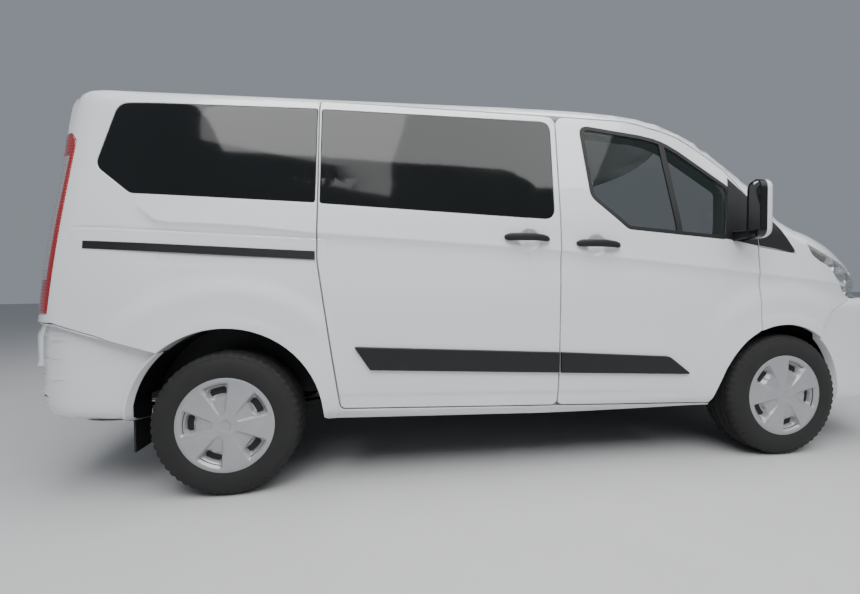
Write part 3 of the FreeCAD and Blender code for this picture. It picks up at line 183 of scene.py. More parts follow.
def reach_form(origin, direction):
    """Points where rays from inside meet the form."""
    low, high = np.zeros(len(origin)), np.full(len(origin), far)

    def at(t):
        return body_distance(origin + direction * t[:, None])
    for _ in range(13):
        middle = (low + high) / 2
        inside = at(middle) < 0
        low, high = np.where(inside, middle, low), np.where(inside, high, middle)
    for _ in range(3):
        f_low, f_high = at(low), at(high)
        share = np.clip(f_low / (f_low - f_high - 1e-12), 0.0, 1.0)
        middle = low + (high - low) * share
        inside = at(middle) < 0
        low, high = np.where(inside, middle, low), np.where(inside, high, middle)
    return origin + direction * ((low + high) / 2)[:, None]


def columns(*values):
    return np.stack(np.broadcast_arrays(*[np.asarray(value, float) for value in values]), -1).reshape(-1, 3)


class Chart:
    """Flat map of part of the body form. Rays leave a spine and bend round at the map's ends and top."""
    scale = 400.0

    def __init__(self, low, high, top, spine, facing):
        self.low, self.high, self.top, self.spine, self.facing = low, high, top, spine, facing

    def rays(self, a, b):
        """Origins and directions for map positions; facing is side, rear, front or up."""
        turn = (np.clip(a, self.low, self.high) - a) / self.scale
        rise = np.maximum(b - self.top, 0.0) / self.scale
        along, up = np.clip(a, self.low, self.high), np.minimum(b, self.top)
        flat_u, flat_v = -np.sin(turn) * np.cos(rise), np.cos(turn) * np.cos(rise)
        if self.facing == "up":
            return columns(a, b, 900.0), columns(0.0, 0.0, np.ones_like(a))
        if self.facing in ("rear", "front"):
            sign = -1.0 if self.facing == "rear" else 1.0
            return columns(self.spine, along, up), columns(sign * flat_v, flat_u, np.sin(rise))
        return columns(along, self.spine, up), columns(flat_u, flat_v * math.copysign(1, self.spine),
                                                       np.sin(rise))

    def place(self, points):
        """Map positions of points on the form."""
        x, y, z = points[:, 0], points[:, 1], points[:, 2]
        if self.facing == "up":
            return np.stack((x, y), 1)
        if self.facing == "side":
            along, out = x, (y - self.spine) * math.copysign(1, self.spine)
        else:
            along, out = y, (x - self.spine) * (1 if self.facing == "front" else -1)
        over = along - np.clip(along, self.low, self.high)
        turn = np.arctan2(-over, out)
        rise = np.arctan2(np.maximum(z - self.top, 0.0), np.hypot(over, out))
        return np.stack((np.clip(along, self.low, self.high) - self.scale * turn,
                         np.minimum(z, self.top) + self.scale * rise), 1)


def side_chart(side):
    return Chart(-1900.0, 1750.0, 1750.0, side * 560.0, "side")


roof_chart = Chart(0, 0, 0, 0, "up")
tail_chart = Chart(-400.0, 400.0, 1700.0, -1900.0, "rear")
nose_chart = Chart(-300.0, 300.0, 3000.0, 1500.0, "front")
bumper_chart = Chart(-300.0, 300.0, 3000.0, -1500.0, "rear")


def rounded(corners, step=40.0, closed=True):
    """Points along an outline, with arcs at its corners."""
    corners = [(*corner, 0.0)[:3] for corner in corners]
    count = len(corners)
    ring = []
    for i, (u, v, radius) in enumerate(corners):
        if not closed and i in (0, count - 1):
            ring.append((u, v))
            continue
        before, after = corners[i - 1], corners[(i + 1) % count]
        (in_u, in_v), (out_u, out_v), turn, reach = corner_turn(before, (u, v, radius), after)
        if reach < least_reach:
            ring.append((u, v))
            continue
        parts = max(2, round(math.degrees(turn) / 9))
        for part in range(parts + 1):
            t = part / parts
            a, b = (1 - t) * reach, t * reach
            ring.append((u - in_u * a * (1 - t) + out_u * b * t, v - in_v * a * (1 - t) + out_v * b * t))
    spaced = []
    for (u0, v0), (u1, v1) in zip(ring, ring[1:] + ring[:1] if closed else ring[1:]):
        parts = max(1, math.ceil(math.dist((u0, v0), (u1, v1)) / step))
        spaced += [(u0 + (u1 - u0) * n / parts, v0 + (v1 - v0) * n / parts) for n in range(parts)]
    return spaced if closed else spaced + [ring[-1]]


def inset(corners, distance):
    """The outline with every side moved inwards."""
    corners = [(*corner, 0.0)[:3] for corner in corners]
    area = sum(a[0] * b[1] - b[0] * a[1] for a, b in zip(corners, corners[1:] + corners[:1]))
    if area < 0:
        corners.reverse()
    count, lines, moved = len(corners), [], []
    for i in range(count):
        (u0, v0, _), (u1, v1, _) = corners[i], corners[(i + 1) % count]
        size = math.dist((u0, v0), (u1, v1))
        along_u, along_v = (u1 - u0) / size, (v1 - v0) / size
        lines.append((u0 - along_v * distance, v0 + along_u * distance, along_u, along_v))
    for i in range(count):
        a_u, a_v, a_du, a_dv = lines[i - 1]
        b_u, b_v, b_du, b_dv = lines[i]
        turn = a_du * b_dv - a_dv * b_du
        step = 0.0 if abs(turn) < 1e-6 else ((b_u - a_u) * b_dv - (b_v - a_v) * b_du) / turn
        u, v = (b_u, b_v) if abs(turn) < 1e-6 else (a_u + step * a_du, a_v + step * a_dv)
        radius = corners[i][2]
        changed = radius - distance if turn > 0 else radius + distance
        moved.append((u, v, max(0.0, changed) if radius else 0.0))
    return moved


def seen_from(facing, points, side=1):
    """Points on the form where it is seen in side, top, rear or front view at the given positions."""
    points = np.array([point[:2] for point in points], float)
    u, v = points[:, 0], points[:, 1]
    one = np.ones(len(u))
    if facing == "side":
        origin, direction = columns(u, 0.0, v), columns(0.0, side * one, 0.0)
    elif facing == "top":
        origin, direction = columns(u, v * side, 900.0), columns(0.0, 0.0, one)
    else:
        sign = -1.0 if facing == "rear" else 1.0
        origin, direction = columns(sign * 1500.0, u * side, v), columns(sign * one, 0.0, 0.0)
    return reach_form(origin, direction)


def on_form(facing, corners, side=1, smaller=None):
    """Outline on the form with rounded corners, where asked with every side moved inwards."""
    return seen_from(facing, rounded(corners if smaller is None else inset(corners, smaller)), side)


# Flat plates, wrapped on the form
def offset_ring(ring, distance):
    """A ring of points moved inwards (to the left of its direction)."""
    ring = np.asarray(ring)
    ahead, behind = np.roll(ring, -1, 0) - ring, ring - np.roll(ring, 1, 0)
    ahead /= np.linalg.norm(ahead, axis=1)[:, None] + 1e-9
    behind /= np.linalg.norm(behind, axis=1)[:, None] + 1e-9
    normal = np.stack((-ahead[:, 1] - behind[:, 1], ahead[:, 0] + behind[:, 0]), 1)
    normal /= np.linalg.norm(normal, axis=1)[:, None] + 1e-9
    lean = np.clip(np.sum(normal * np.stack((-ahead[:, 1], ahead[:, 0]), 1), 1), 0.5, 1.0)
    return ring + normal * (distance / lean)[:, None]


def turned_left(ring):
    ring = np.asarray(ring, float)
    ahead = np.roll(ring, -1, 0)
    area = np.sum(ring[:, 0] * ahead[:, 1] - ahead[:, 0] * ring[:, 1])
    return ring if area > 0 else ring[::-1]


def flat_plate(outline, holes, start, depth, rounding, step, extra=((), ())):
    """A flat plate with a rounded outer edge, cut into a grid so that it can be wrapped."""
    bm = bmesh.new()
    top, bottom = [], []
    parts = 3 if rounding > 1.5 else 2
    levels = [(0.0, depth)]
    for part in range(parts + 1):
        angle = math.pi / 2 * part / parts
        levels.append((rounding * (1 - math.cos(angle)), start + rounding * (1 - math.sin(angle))))
    for ring, direction in [(turned_left(outline), 1.0)] + [(turned_left(hole), -1.0) for hole in holes]:
        verts = [bm.verts.new((u, v, levels[0][1])) for u, v in ring]
        edges = [bm.edges.new((verts[i - 1], verts[i])) for i in range(len(verts))]
        bottom += edges
        for distance, w in levels[1:]:
            moved = offset_ring(ring, direction * distance)
            made = bmesh.ops.extrude_edge_only(bm, edges=edges)["geom"]
            fresh = {tuple(round(c, 4) for c in v.co): v for v in made if isinstance(v, bmesh.types.BMVert)}
            ordered = [fresh[tuple(round(c, 4) for c in v.co)] for v in verts]
            for vert, (u, v) in zip(ordered, moved):
                vert.co = (u, v, w)
            verts = ordered
            inner = set(verts)
            edges = [e for e in made if isinstance(e, bmesh.types.BMEdge) and inner.issuperset(e.verts)]
        top += edges
    for edges in (top, bottom):
        bmesh.ops.triangle_fill(bm, use_beauty=True, use_dissolve=False, edges=edges)
    lines = grid_lines(bm, step, extra)
    for axis, value in lines:
        normal = (1, 0, 0) if axis == 0 else (0, 1, 0)
        place = (value, 0, 0) if axis == 0 else (0, value, 0)
        bmesh.ops.bisect_plane(bm, geom=bm.verts[:] + bm.edges[:] + bm.faces[:], dist=0.05,
                               plane_co=place, plane_no=normal)
    dissolve_fill(bm, lines, start, depth)
    return bm


def grid_lines(bm, step, extra):
    """Lines (axis, value) that cut a plate into its grid; extra holds the finer stretches."""
    lines = []
    co = np.array([v.co for v in bm.verts])
    for axis in (0, 1):
        low, high = co[:, axis].min(), co[:, axis].max()
        steps = step if isinstance(step, (int, float)) else step[axis]
        values = [n * steps for n in range(math.ceil(low / steps), math.floor(high / steps) + 1)]
        for first, last, fine in extra[axis]:
            values = [value for value in values if not first < value < last]
            values += [first + n * fine for n in range(int((last - first) / fine) + 1)]
        lines += [(axis, value) for value in sorted(values) if low + 1 < value < high - 1]
    return lines


def dissolve_fill(bm, lines, start, depth):
    """Takes out the edges of the fill, so that only those on the grid's lines stay."""
    cuts = [np.array(sorted(value for way, value in lines if way == axis) or [1e9]) for axis in (0, 1)]

    def on_cut(edge):
        a, b = edge.verts[0].co, edge.verts[1].co
        for axis in (0, 1):
            if abs(a[axis] - b[axis]) < 0.02:
                near = np.searchsorted(cuts[axis], a[axis])
                if any(abs(cuts[axis][k] - a[axis]) < 0.1 for k in (near - 1,
                                                                    near) if 0 <= k < len(cuts[axis])):
                    return True
        return False
    loose = []
    for edge in bm.edges:
        a, b = edge.verts[0].co.z, edge.verts[1].co.z
        level = abs(a - b) < 0.01 and (abs(a - start) < 0.01 or abs(a - depth) < 0.01)
        if len(edge.link_faces) == 2 and level:
            if all(abs(abs(face.normal.z) - 1) < 0.01 for face in edge.link_faces) and not on_cut(edge):
                loose.append(edge)
    bm.normal_update()
    bmesh.ops.dissolve_edges(bm, edges=loose, use_verts=False, use_face_split=False)


def wrap(bm, chart, relief=None, lift=None, fade=(26.0, 30.0)):
    """Wraps a flat plate on the form. Its third coordinate is the depth below the surface."""
    co = np.array([v.co for v in bm.verts])
    a, b, w = co[:, 0], co[:, 1], co[:, 2]
    if lift is not None:
        b = b + lift(a)
    origin, direction = chart.rays(a, b)
    surface = reach_form(origin, direction)
    proud = -w if relief is None else relief(surface) * np.interp(w, fade, (1.0, 0.0)) - w
    for vert, point in zip(bm.verts, surface + direction * proud[:, None]):
        vert.co = point * MM
    return bm


def smooth_piece(bm, name, body, material, replaces=()):
    """Finished piece from a bmesh in metres."""
    bmesh.ops.recalc_face_normals(bm, faces=bm.faces[:])
    mesh = bpy.data.meshes.new(name)
    bm.to_mesh(mesh)
    bm.free()
    piece = bpy.data.objects.new(name, mesh)
    bpy.context.collection.objects.link(piece)
    mesh.shade_smooth()
    mesh.set_sharp_from_angle(angle=math.radians(50))
    mesh.materials.append(material)
    even = piece.modifiers.new("even", "WEIGHTED_NORMAL")
    even.keep_sharp = True
    even.weight = 50
    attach(piece, body)
    if replaces:
        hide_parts(*replaces)
    return piece


def panel(name, chart, outline, holes=(), start=0.0, depth=plate, rounding=3.0, step=40.0, extra=((), ()),
          relief=None, lift=None, body="root", slot="paint", material=None, replaces=()):
    """A wrapped plate as a finished piece; its outline and holes are points on the form."""
    rings = [chart.place(np.asarray(ring)) for ring in (outline, *holes)]
    if lift is not None:
        rings = [np.stack((ring[:, 0], ring[:, 1] - lift(ring[:, 0])), 1) for ring in rings]
    bm = flat_plate(rings[0], rings[1:], start, depth, rounding, step, extra)
    return smooth_piece(wrap(bm, chart, relief, lift), name, body, material, replaces=replaces)


# Finishes
class Shade:
    """One output of a finish's nodes. Sums and products of it add maths nodes."""

    def __init__(self, finish, socket):
        self.finish, self.socket = finish, socket

    def maths(self, operation, *values):
        return self.finish.node("ShaderNodeMath", {"operation": operation}, dict(enumerate(values)))

    def __add__(self, other):
        return self.maths("ADD", self, other)

    def __rsub__(self, other):
        return self.maths("SUBTRACT", other, self)

    def __mul__(self, other):
        return self.maths("MULTIPLY", self, other)

    def __gt__(self, other):
        return self.maths("GREATER_THAN", self, other)

    def __lt__(self, other):
        return self.maths("LESS_THAN", self, other)


class Finish:
    """A material with one shader, whose fixed values are set when it is made."""

    def __init__(self, name, **values):
        self.material = bpy.data.materials.new(name)
        self.material.use_nodes = True
        self.tree = self.material.node_tree
        self.shader = self.tree.nodes["Principled BSDF"]
        for socket, value in values.items():
            self.shader.inputs[socket.replace("_", " ").title().replace("Ior", "IOR")].default_value = value

    def node(self, kind, settings=None, values=None, output=0):
        node = self.tree.nodes.new(kind)
        for key, value in (settings or {}).items():
            setattr(node, key, value)
        for socket, value in (values or {}).items():
            if isinstance(value, Shade):
                self.tree.links.new(value.socket, node.inputs[socket])
            else:
                node.inputs[socket].default_value = value
        return Shade(self, node.outputs[output])

    def place(self):
        return self.node("ShaderNodeTexCoord", output="Object")

    def height(self):
        """Height above the ground in metres."""
        return self.node("ShaderNodeSeparateXYZ", values={0: self.place()}, output="Z")

    def noise(self, scale, detail=3.0):
        return self.node("ShaderNodeTexNoise",
                         values={"Vector": self.place(), "Scale": scale, "Detail": detail})

    def mixed(self, share, first, second):
        """A colour between two, by a share from 0 to 1."""
        return self.node("ShaderNodeMix", {"data_type": "RGBA"}, {0: share, 6: (*first, 1), 7: (*second, 1)},
                         2)

    def feed(self, socket, shade):
        self.tree.links.new(shade.socket, self.shader.inputs[socket])

    def grain(self, scale, strength, distance=0.001):
        """Fine unevenness of the surface."""
        bump = self.node("ShaderNodeBump", values={"Strength": strength, "Distance": distance,
                                                   "Height": self.noise(scale)})
        self.feed("Normal", bump)


def toned(name, dark, light, scale, roughness, spread=0.08, grain=None, **values):
    """A finish whose colour and gloss vary a little over the piece."""
    finish = Finish(name, **values)
    share = finish.noise(scale)
    finish.feed("Base Color", finish.mixed(share, dark, light))
    finish.feed("Roughness", share * spread + (roughness - spread / 2))
    if grain:
        finish.grain(*grain)
    return finish.material


def body_paint():
    """White paint with clear lacquer, and a trace of dust low down."""
    finish = Finish("white paint", coat_roughness=0.03, ior=1.5, coat_weight=1.0)
    dust = (0.62 - finish.height()) * 1.6 * finish.noise(6.0)
    dust = finish.node("ShaderNodeClamp", values={0: dust})
    finish.feed("Base Color", finish.mixed(dust * 0.5, (0.80, 0.815, 0.83), (0.50, 0.48, 0.45)))
    finish.feed("Roughness", dust * 0.3 + finish.noise(900.0) * 0.06 + 0.28)
    return finish.material


paint = body_paint()
plastic = toned("black moulded plastic", (0.006, 0.006, 0.007), (0.011, 0.011, 0.012), 40.0, 0.52,
                grain=(1400.0, 0.25))
gloss_black = toned("gloss black", (0.006, 0.006, 0.007), (0.010, 0.010, 0.011), 20.0, 0.16)
dark_glass = toned("privacy glass", (0.004, 0.005, 0.005), (0.007, 0.008, 0.008), 2.0, 0.05, 0.03, alpha=0.94)
clear_glass = toned("clear glass", (0.020, 0.030, 0.028), (0.025, 0.036, 0.033), 2.0, 0.03, 0.02, alpha=0.26)
lamp_cover = toned("lamp cover", (0.30, 0.31, 0.32), (0.36, 0.37, 0.38), 5.0, 0.04, 0.02, alpha=0.22)
reflector = toned("reflector", (0.62, 0.63, 0.65), (0.72, 0.73, 0.74), 30.0, 0.12, metallic=1.0)
lamp_bed = toned("silvered lamp housing", (0.30, 0.31, 0.32), (0.42, 0.43, 0.44), 30.0, 0.28, metallic=0.7)
rubber = toned("tyre rubber", (0.010, 0.010, 0.010), (0.021, 0.0205, 0.020), 14.0, 0.78, grain=(700.0, 0.2))
cover_silver = toned("silver wheel cover", (0.36, 0.37, 0.38), (0.43, 0.44, 0.45), 25.0, 0.36, metallic=0.35)
rim_steel = toned("painted steel rim", (0.05, 0.05, 0.052), (0.08, 0.08, 0.082), 20.0, 0.5)
seal_rubber = toned("window seal", (0.008, 0.008, 0.008), (0.014, 0.014, 0.014), 50.0, 0.6)
chassis_coat = toned("underbody coating", (0.018, 0.018, 0.018), (0.05, 0.047, 0.043), 9.0, 0.75,
                     grain=(120.0, 0.5))
cabin_plastic = toned("cabin plastic", (0.045, 0.046, 0.049), (0.060, 0.061, 0.065), 30.0, 0.62,
                      grain=(900.0, 0.35))
metal = toned("cast metal", (0.30, 0.30, 0.30), (0.42, 0.41, 0.40), 12.0, 0.45, metallic=0.9,
              grain=(200.0, 0.4))
mirror_glass = toned("mirror glass", (0.70, 0.72, 0.74), (0.74, 0.76, 0.78), 3.0, 0.02, 0.01, metallic=1.0)
exhaust_steel = toned("exhaust steel", (0.20, 0.18, 0.16), (0.36, 0.34, 0.32), 7.0, 0.5, metallic=0.9)
bright_rod = toned("bright rod", (0.60, 0.60, 0.61), (0.68, 0.68, 0.69), 40.0, 0.15, metallic=1.0)


def seat_cloth():
    finish = Finish("seat cloth", sheen_weight=0.3)
    weave = finish.node("ShaderNodeTexVoronoi", values={"Vector": finish.place(), "Scale": 420.0})
    finish.feed("Base Color", finish.mixed(weave * 0.7 + finish.noise(9.0) * 0.3, (0.045, 0.048, 0.055),
                                           (0.11, 0.115, 0.125)))
    finish.feed("Roughness", weave * 0.1 + 0.85)
    finish.feed("Normal", finish.node("ShaderNodeBump",
                                      values={"Strength": 0.5, "Distance": 0.0006, "Height": weave}))
    return finish.material


cloth = seat_cloth()


def tail_lens_material():
    """Red lens with a grey middle, ribbed."""
    finish = Finish("tail lamp lens", coat_weight=1.0, coat_roughness=0.03)
    height = finish.height()
    along = finish.node("ShaderNodeSeparateXYZ", values={0: finish.place()}, output="X")
    ribs = finish.node("ShaderNodeMath", {"operation": "SINE"}, {0: height * 420.0})
    middle = (along + height * -0.125 < -2.375) * (height > 1.02) * (height < 1.60)
    finish.feed("Base Color", finish.mixed(middle, (0.30, 0.008, 0.010), (0.30, 0.28, 0.29)))
    finish.feed("Roughness", ribs * 0.03 + 0.14)
    finish.feed("Normal", finish.node("ShaderNodeBump",
                                      values={"Strength": 0.35, "Distance": 0.002, "Height": ribs}))
    return finish.material


tail_lens = tail_lens_material()


# Reliefs of the body side
crease_x = (-1900.0, -1830.0, -1762.0, -1698.0, -1569.0, -1349.0, -1058.0, 172.0, 1317.0, 1847.0, 2100.0)
crease_z = (1400.0, 1341.0, 1285.0, 1274.0, 1271.0, 1259.0, 1226.0, 1138.0, 1008.0, 947.0, 920.0)
grid_x = (-2200.0, -1762.0, -1349.0, -1058.0, 172.0, 1317.0, 1847.0, 2100.0)
grid_z = (1300.0, 1285.0, 1259.0, 1226.0, 1138.0, 1008.0, 947.0, 920.0)


def crease_lift(a):
    """Height of the belt crease, which the panels' grids follow."""
    return np.interp(a, grid_x, grid_z)


def crease_relief(points):
    """A sharp line along the belt: the panel above leans out to it, the one below falls back and recovers."""
    x, z = points[:, 0], points[:, 2]
    over = z - np.interp(x, crease_x, crease_z)
    below = np.maximum(-over, 0)
    fallen = np.exp(-below / 30)
    raised = np.where(over > 0, 6.0 * np.exp(-np.maximum(over, 0) / 60),
                      6.0 * fallen - 9.0 * (1 - fallen) * np.exp(-below / 150))
    return raised * np.interp(x, (-1900, -1760, 1750, 1900), (0, 1, 1, 0.2))


arches = ((1455.0, 340.0, 388.0), (-1465.0, 345.0, 440.0))
flares = ((0.0, 48.0, 170.0, 262.0), (0.0, 46.0, 190.0, 262.0))   # out from each arch: lip, foot, brow, end


def flare_relief(points):
    """The swelling over each wheel arch, and the lip along its edge."""
    raised = np.zeros(len(points))
    for (x, z, radius), ends in zip(arches, flares):
        out = np.hypot(points[:, 0] - x, np.maximum(points[:, 2], z) - z) - radius
        swell = np.interp(out, (ends[2] - 30, ends[3]), (1, 0))
        swell = swell * swell * (3 - 2 * swell)
        lip = np.interp(out, (ends[1] - 8, ends[1] + 8), (1, 0))
        raised += 13.0 * swell + 3.0 * lip * lip * (3 - 2 * lip)
    fade = np.where(points[:, 0] > 0, np.interp(points[:, 0], (900, 1150), (0, 1)),
                    np.interp(points[:, 0], (-1040, -960), (1, 0)))
    return raised * fade * np.interp(points[:, 2], (280, 420), (0.3, 1))


rail_panel = [(-2150, 1165, 26), (-2090, 1152, 0), (-1000, 1090, 0), (-1000, 1198, 0), (-2080, 1257, 30),
              (-2146, 1250, 26)]


def rail_relief(points):
    """Groove round the cover of the slide rail."""
    ring = np.array(rounded(rail_panel, step=25.0))
    nearest = np.full(len(points), 1e9)
    flat = points[:, [0, 2]]
    for start, end in zip(ring, np.roll(ring, -1, 0)):
        along = end - start
        share = np.clip(((flat - start) @ along) / (along @ along + 1e-9), 0, 1)
        nearest = np.minimum(nearest, np.hypot(*(flat - start - share[:, None] * along).T))
    return -3.0 * np.exp(-(nearest / 3.2) ** 2) * (points[:, 1] < 0)


cups = ((5.0, 1194.0), (365.0, 1166.0))    # behind the sliding door's handle, then the front doors'
cup_radius = 54.0


def cup_relief(points):
    """Round scoops behind the handles, the sliding door's on the right side only."""
    x, z = points[:, 0], points[:, 2]
    right, sunk = points[:, 1] < 0, np.zeros(len(points))
    for number, (cup_x, cup_z) in enumerate(cups):
        near = np.hypot(x - cup_x, z - cup_z) / cup_radius
        here = np.interp(near, (0, 0.5, 0.85, 1.0), (1, 0.86, 0.5, 0)) * (right if number == 0 else 1)
        sunk = np.maximum(sunk, here)
    return -22.0 * sunk


def sill_relief(points):
    """Step along the foot of the doors."""
    x, z = points[:, 0], points[:, 2]
    over = z - np.interp(x, (-1030, 146, 1017), (450, 415, 385))
    share = 1 / (1 + np.exp(-over / 4.0))
    return -5.0 * (1 - share) * np.interp(x, (-1040, -960, 900, 1010), (0, 1, 1, 0))


def side_relief(points):
    return (crease_relief(points) + flare_relief(points) + rail_relief(points) + sill_relief(points)
            + cup_relief(points))


pressed_skin = {"relief": side_relief, "lift": crease_lift, "material": paint}
door_lining = {"start": plate + 0.5, "depth": wall, "step": (90.0, 60.0), "slot": "interior_plastic",
               "material": cabin_plastic}
dark_pane = {"start": 1.5, "depth": glass_wall, "rounding": 1.5, "slot": "dark_glass", "material": dark_glass}
black_part = {"slot": "black_plastic", "material": plastic}

# Finer stretches of the grids: first, last and step along the panel's height
door_lines = [(-760.0, -690.0, 7.0), (-450.0, -140.0, 24.0), (-135.0, 110.0, 6.5)]
side_lines = [(-500.0, -200.0, 20.0), (-130.0, 60.0, 5.0)]
wing_lines = [(-400.0, -80.0, 16.0), (-75.0, 60.0, 6.5)]

# The line between bonnet and headlamp, and the headlamp's rear edge
edge_x, edge_z = (1600, 1624, 1707, 1794, 1904, 2200, 2440), (1181, 1173, 1132, 1102, 1062, 1000, 985)
lamp_back = [(1624, 1167), (1650, 1116, 60), (1702, 1080, 60), (1753, 1060, 60), (1804, 1018, 60),
             (1856, 947, 60), (1892, 907, 40), (1932, 880, 20), (1968, 869)]


def word(side):
    return "left" if side > 0 else "right"


def bonnet_edge_z(x, lower=0.0):
    """Height of the line between bonnet and headlamp."""
    return np.interp(x, edge_x, edge_z) - lower


def run(corners, step=40.0):
    return rounded(corners, step, closed=False)


def arc(centre, radius, first, last, count=24):
    """Points of an arc between two angles in degrees, from straight ahead and upwards."""
    angles = np.radians(np.linspace(first, last, count))
    return [(centre[0] + radius * math.cos(t), centre[1] + radius * math.sin(t)) for t in angles]


def mirrored_points(points):
    return np.asarray(points) * (1, -1, 1)


def side_outline(side, door_run):
    """The body side's edge on the form, with one run along the door openings."""
    x, z, radius = arches[1]
    lower = run([(1021, 299), (385, 291), (-1010, 329)]) + arc((x, z), radius, 0, 130.0)
    lower += run([(-1757, 684), (-2213, 824), (-2290, 828)])
    rise = [(lamp_y, 832), (lamp_y, 862)]
    lamp = run([(-2290, 862), (-2241, 862), (-2188, 1300), (-2146, 1672), (-2178, 1712), (-2230, 1717)])
    corner = [(lamp_y, v) for v in np.linspace(1719, 1850, 6)]
    over = run([(-2205, lamp_y), (-2140, lamp_y), (-2140, 790), (760, 790), (1400, 851.3)])
    pillar = run([(1400, 1322), (1541, 1122), (1309, 1160)])
    pieces = [seen_from("side", lower, side), seen_from("rear", rise, side), seen_from("side", lamp, side),
              seen_from("rear", corner, side), seen_from("top", over, side), seen_from("side", pillar, side),
              seen_from("side", run(door_run), side)]
    return np.concatenate(pieces)


door_head = [(1309, 1155, 60), (1282, 1426, 120), (1161, 1588, 500), (881, 1782, 500), (601, 1854, 400)]
right_run = door_head + [(190, 1870, 600), (-1033, 1910, 20), (-1050, 1100, 300), (-950, 380, 30),
                         (146, 341, 40), (1017, 307)]
left_run = door_head + [(186, 1870, 60), (168, 1122, 0), (142, 341, 30), (1017, 307)]


def build_side(side):
    """Outer skin of a body side, the frame that it laps over, and its panes."""
    chart = side_chart(side)
    holes = [on_form("side", quarter_window, side)]
    if side > 0:
        holes += [on_form("side", middle_window, side), on_form("side", flap_line, side, -flap_gap)]
    panel("side_skin_" + word(side), chart, side_outline(side, left_run if side > 0 else right_run), holes,
          depth=rebate, step=(60.0, 50.0), extra=([(-2190.0, -940.0, 14.0)], side_lines),
          replaces=("side_" + word(side),), **pressed_skin)
    frame_run = [(1309, 1155), (1309, 700), (1218, 648), (1150, 580), (1100, 498), (1019, 303)]
    openings = ((quarter_window, window_step), (door_line, door_step),
                (middle_window, window_step) if side > 0 else (sliding_line, door_step))
    holes = [on_form("side", line, side, smaller) for line, smaller in openings]
    sunken_post(panel("side_frame_" + word(side), chart, side_outline(side, frame_run), holes,
                      start=rebate + 1.0, depth=wall, step=(90.0, 60.0), material=paint))
    for name, window in (("quarter_glass_", quarter_window), ("middle_glass_", middle_window)):
        panel(name + word(side), chart, on_form("side", window, side, pane_gap), step=60.0,
              replaces=("side_glass",) if side > 0 and window is middle_window else (), **dark_pane)


def sunken_post(piece):
    """The front post lies deeper, where the door's front edge swings in."""
    for vert in piece.data.vertices:
        depth = -float(body_distance(np.array(vert.co)[None] / MM)[0])
        if vert.co.x > post_from * MM and vert.co.z < post_top * MM and depth < post_depth:
            vert.co.y -= math.copysign((post_depth - depth) * MM, vert.co.y)


def build_sliding_door():
    chart = side_chart(-1)
    panel("sliding_door_skin", chart, on_form("side", sliding_line, -1, half_gap),
          [on_form("side", middle_window, -1)], step=(60.0, 60.0),
          extra=([(-1030.0, -945.0, 14.0), (-54.0, 64.0, 6.0)], door_lines), replaces=("sliding_door",),
          **pressed_skin)
    panel("sliding_door_lining", chart, on_form("side", sliding_line, -1, lining_step),
          [on_form("side", middle_window, -1, window_step)], **door_lining)


def build_front_door(side):
    """Front door: skin, lining, pane with its seal, and the bar between the two panes."""
    body, chart = "door_" + word(side), side_chart(side)
    panel("front_door_skin_" + word(side), chart, on_form("side", door_line, side, half_gap),
          [on_form("side", door_window, side)], step=(60.0, 60.0), body=body,
          extra=([(306.0, 424.0, 6.0), (800.0, 1320.0, 15.0)], door_lines),
          replaces=("front_door_" + word(side),), **pressed_skin)
    panel("front_door_lining_" + word(side), chart, on_form("side", door_line, side, lining_step),
          [on_form("side", door_window, side, window_step)], body=body, **door_lining)
    panel("door_glass_pane_" + word(side), chart, on_form("side", door_window, side, 3), start=4.0, depth=8.0,
          rounding=1.0, body=body, slot="clear_glass", material=clear_glass, step=60.0,
          replaces=("door_glass_" + word(side),))
    seal = {"body": body, "slot": "black_plastic", "material": seal_rubber, "step": 60.0}
    panel("door_window_seal_" + word(side), chart, on_form("side", door_window, side, -1),
          [on_form("side", door_window, side, 20)], start=0.0, depth=3.8, rounding=1.0, **seal)
    panel("window_divider_" + word(side), chart, on_form("side", divider_line, side), start=0.2, depth=10.0,
          rounding=1.5, **seal)


def plan_arc(radius, first, last, count):
    """Arc about the middle of the vehicle in plan, between two half widths."""
    return [(radius * math.cos(t), radius * math.sin(t))
            for t in np.linspace(math.asin(first / radius), math.asin(last / radius), count)]


def build_roof():
    """Roof skin with its ditches at the sides, and the windscreen."""
    edge = [(-2196, 761), (-2146, 761), (-2146, 784), (768, 784)]
    half = np.concatenate([seen_from("top", run(edge, 60)),
                           seen_from("top", plan_arc(roof_front, 784, 0, 24))])
    outline = np.concatenate([half, mirrored_points(half[-2::-1])])
    panel("roof_skin", roof_chart, outline, depth=30.0, step=(60.0, 40.0), material=paint, replaces=("roof",))
    half = np.concatenate([seen_from("top", plan_arc(roof_front + 2, 0, 789, 24)),
                           seen_from("top", run([(760, 789), (1613, 870)])[1:]),
                           seen_from("top", plan_arc(screen_foot, 877, 0, 24))])
    panel("windscreen_pane", roof_chart, closed_by_mirror(half), start=1.0, depth=7.0, rounding=1.5,
          slot="clear_glass", material=clear_glass, step=40.0, replaces=("windscreen",))


def closed_by_mirror(half):
    """The outline that a half from the middle to the middle makes with its mirror image."""
    return np.concatenate([half, mirrored_points(half[-2:0:-1])])


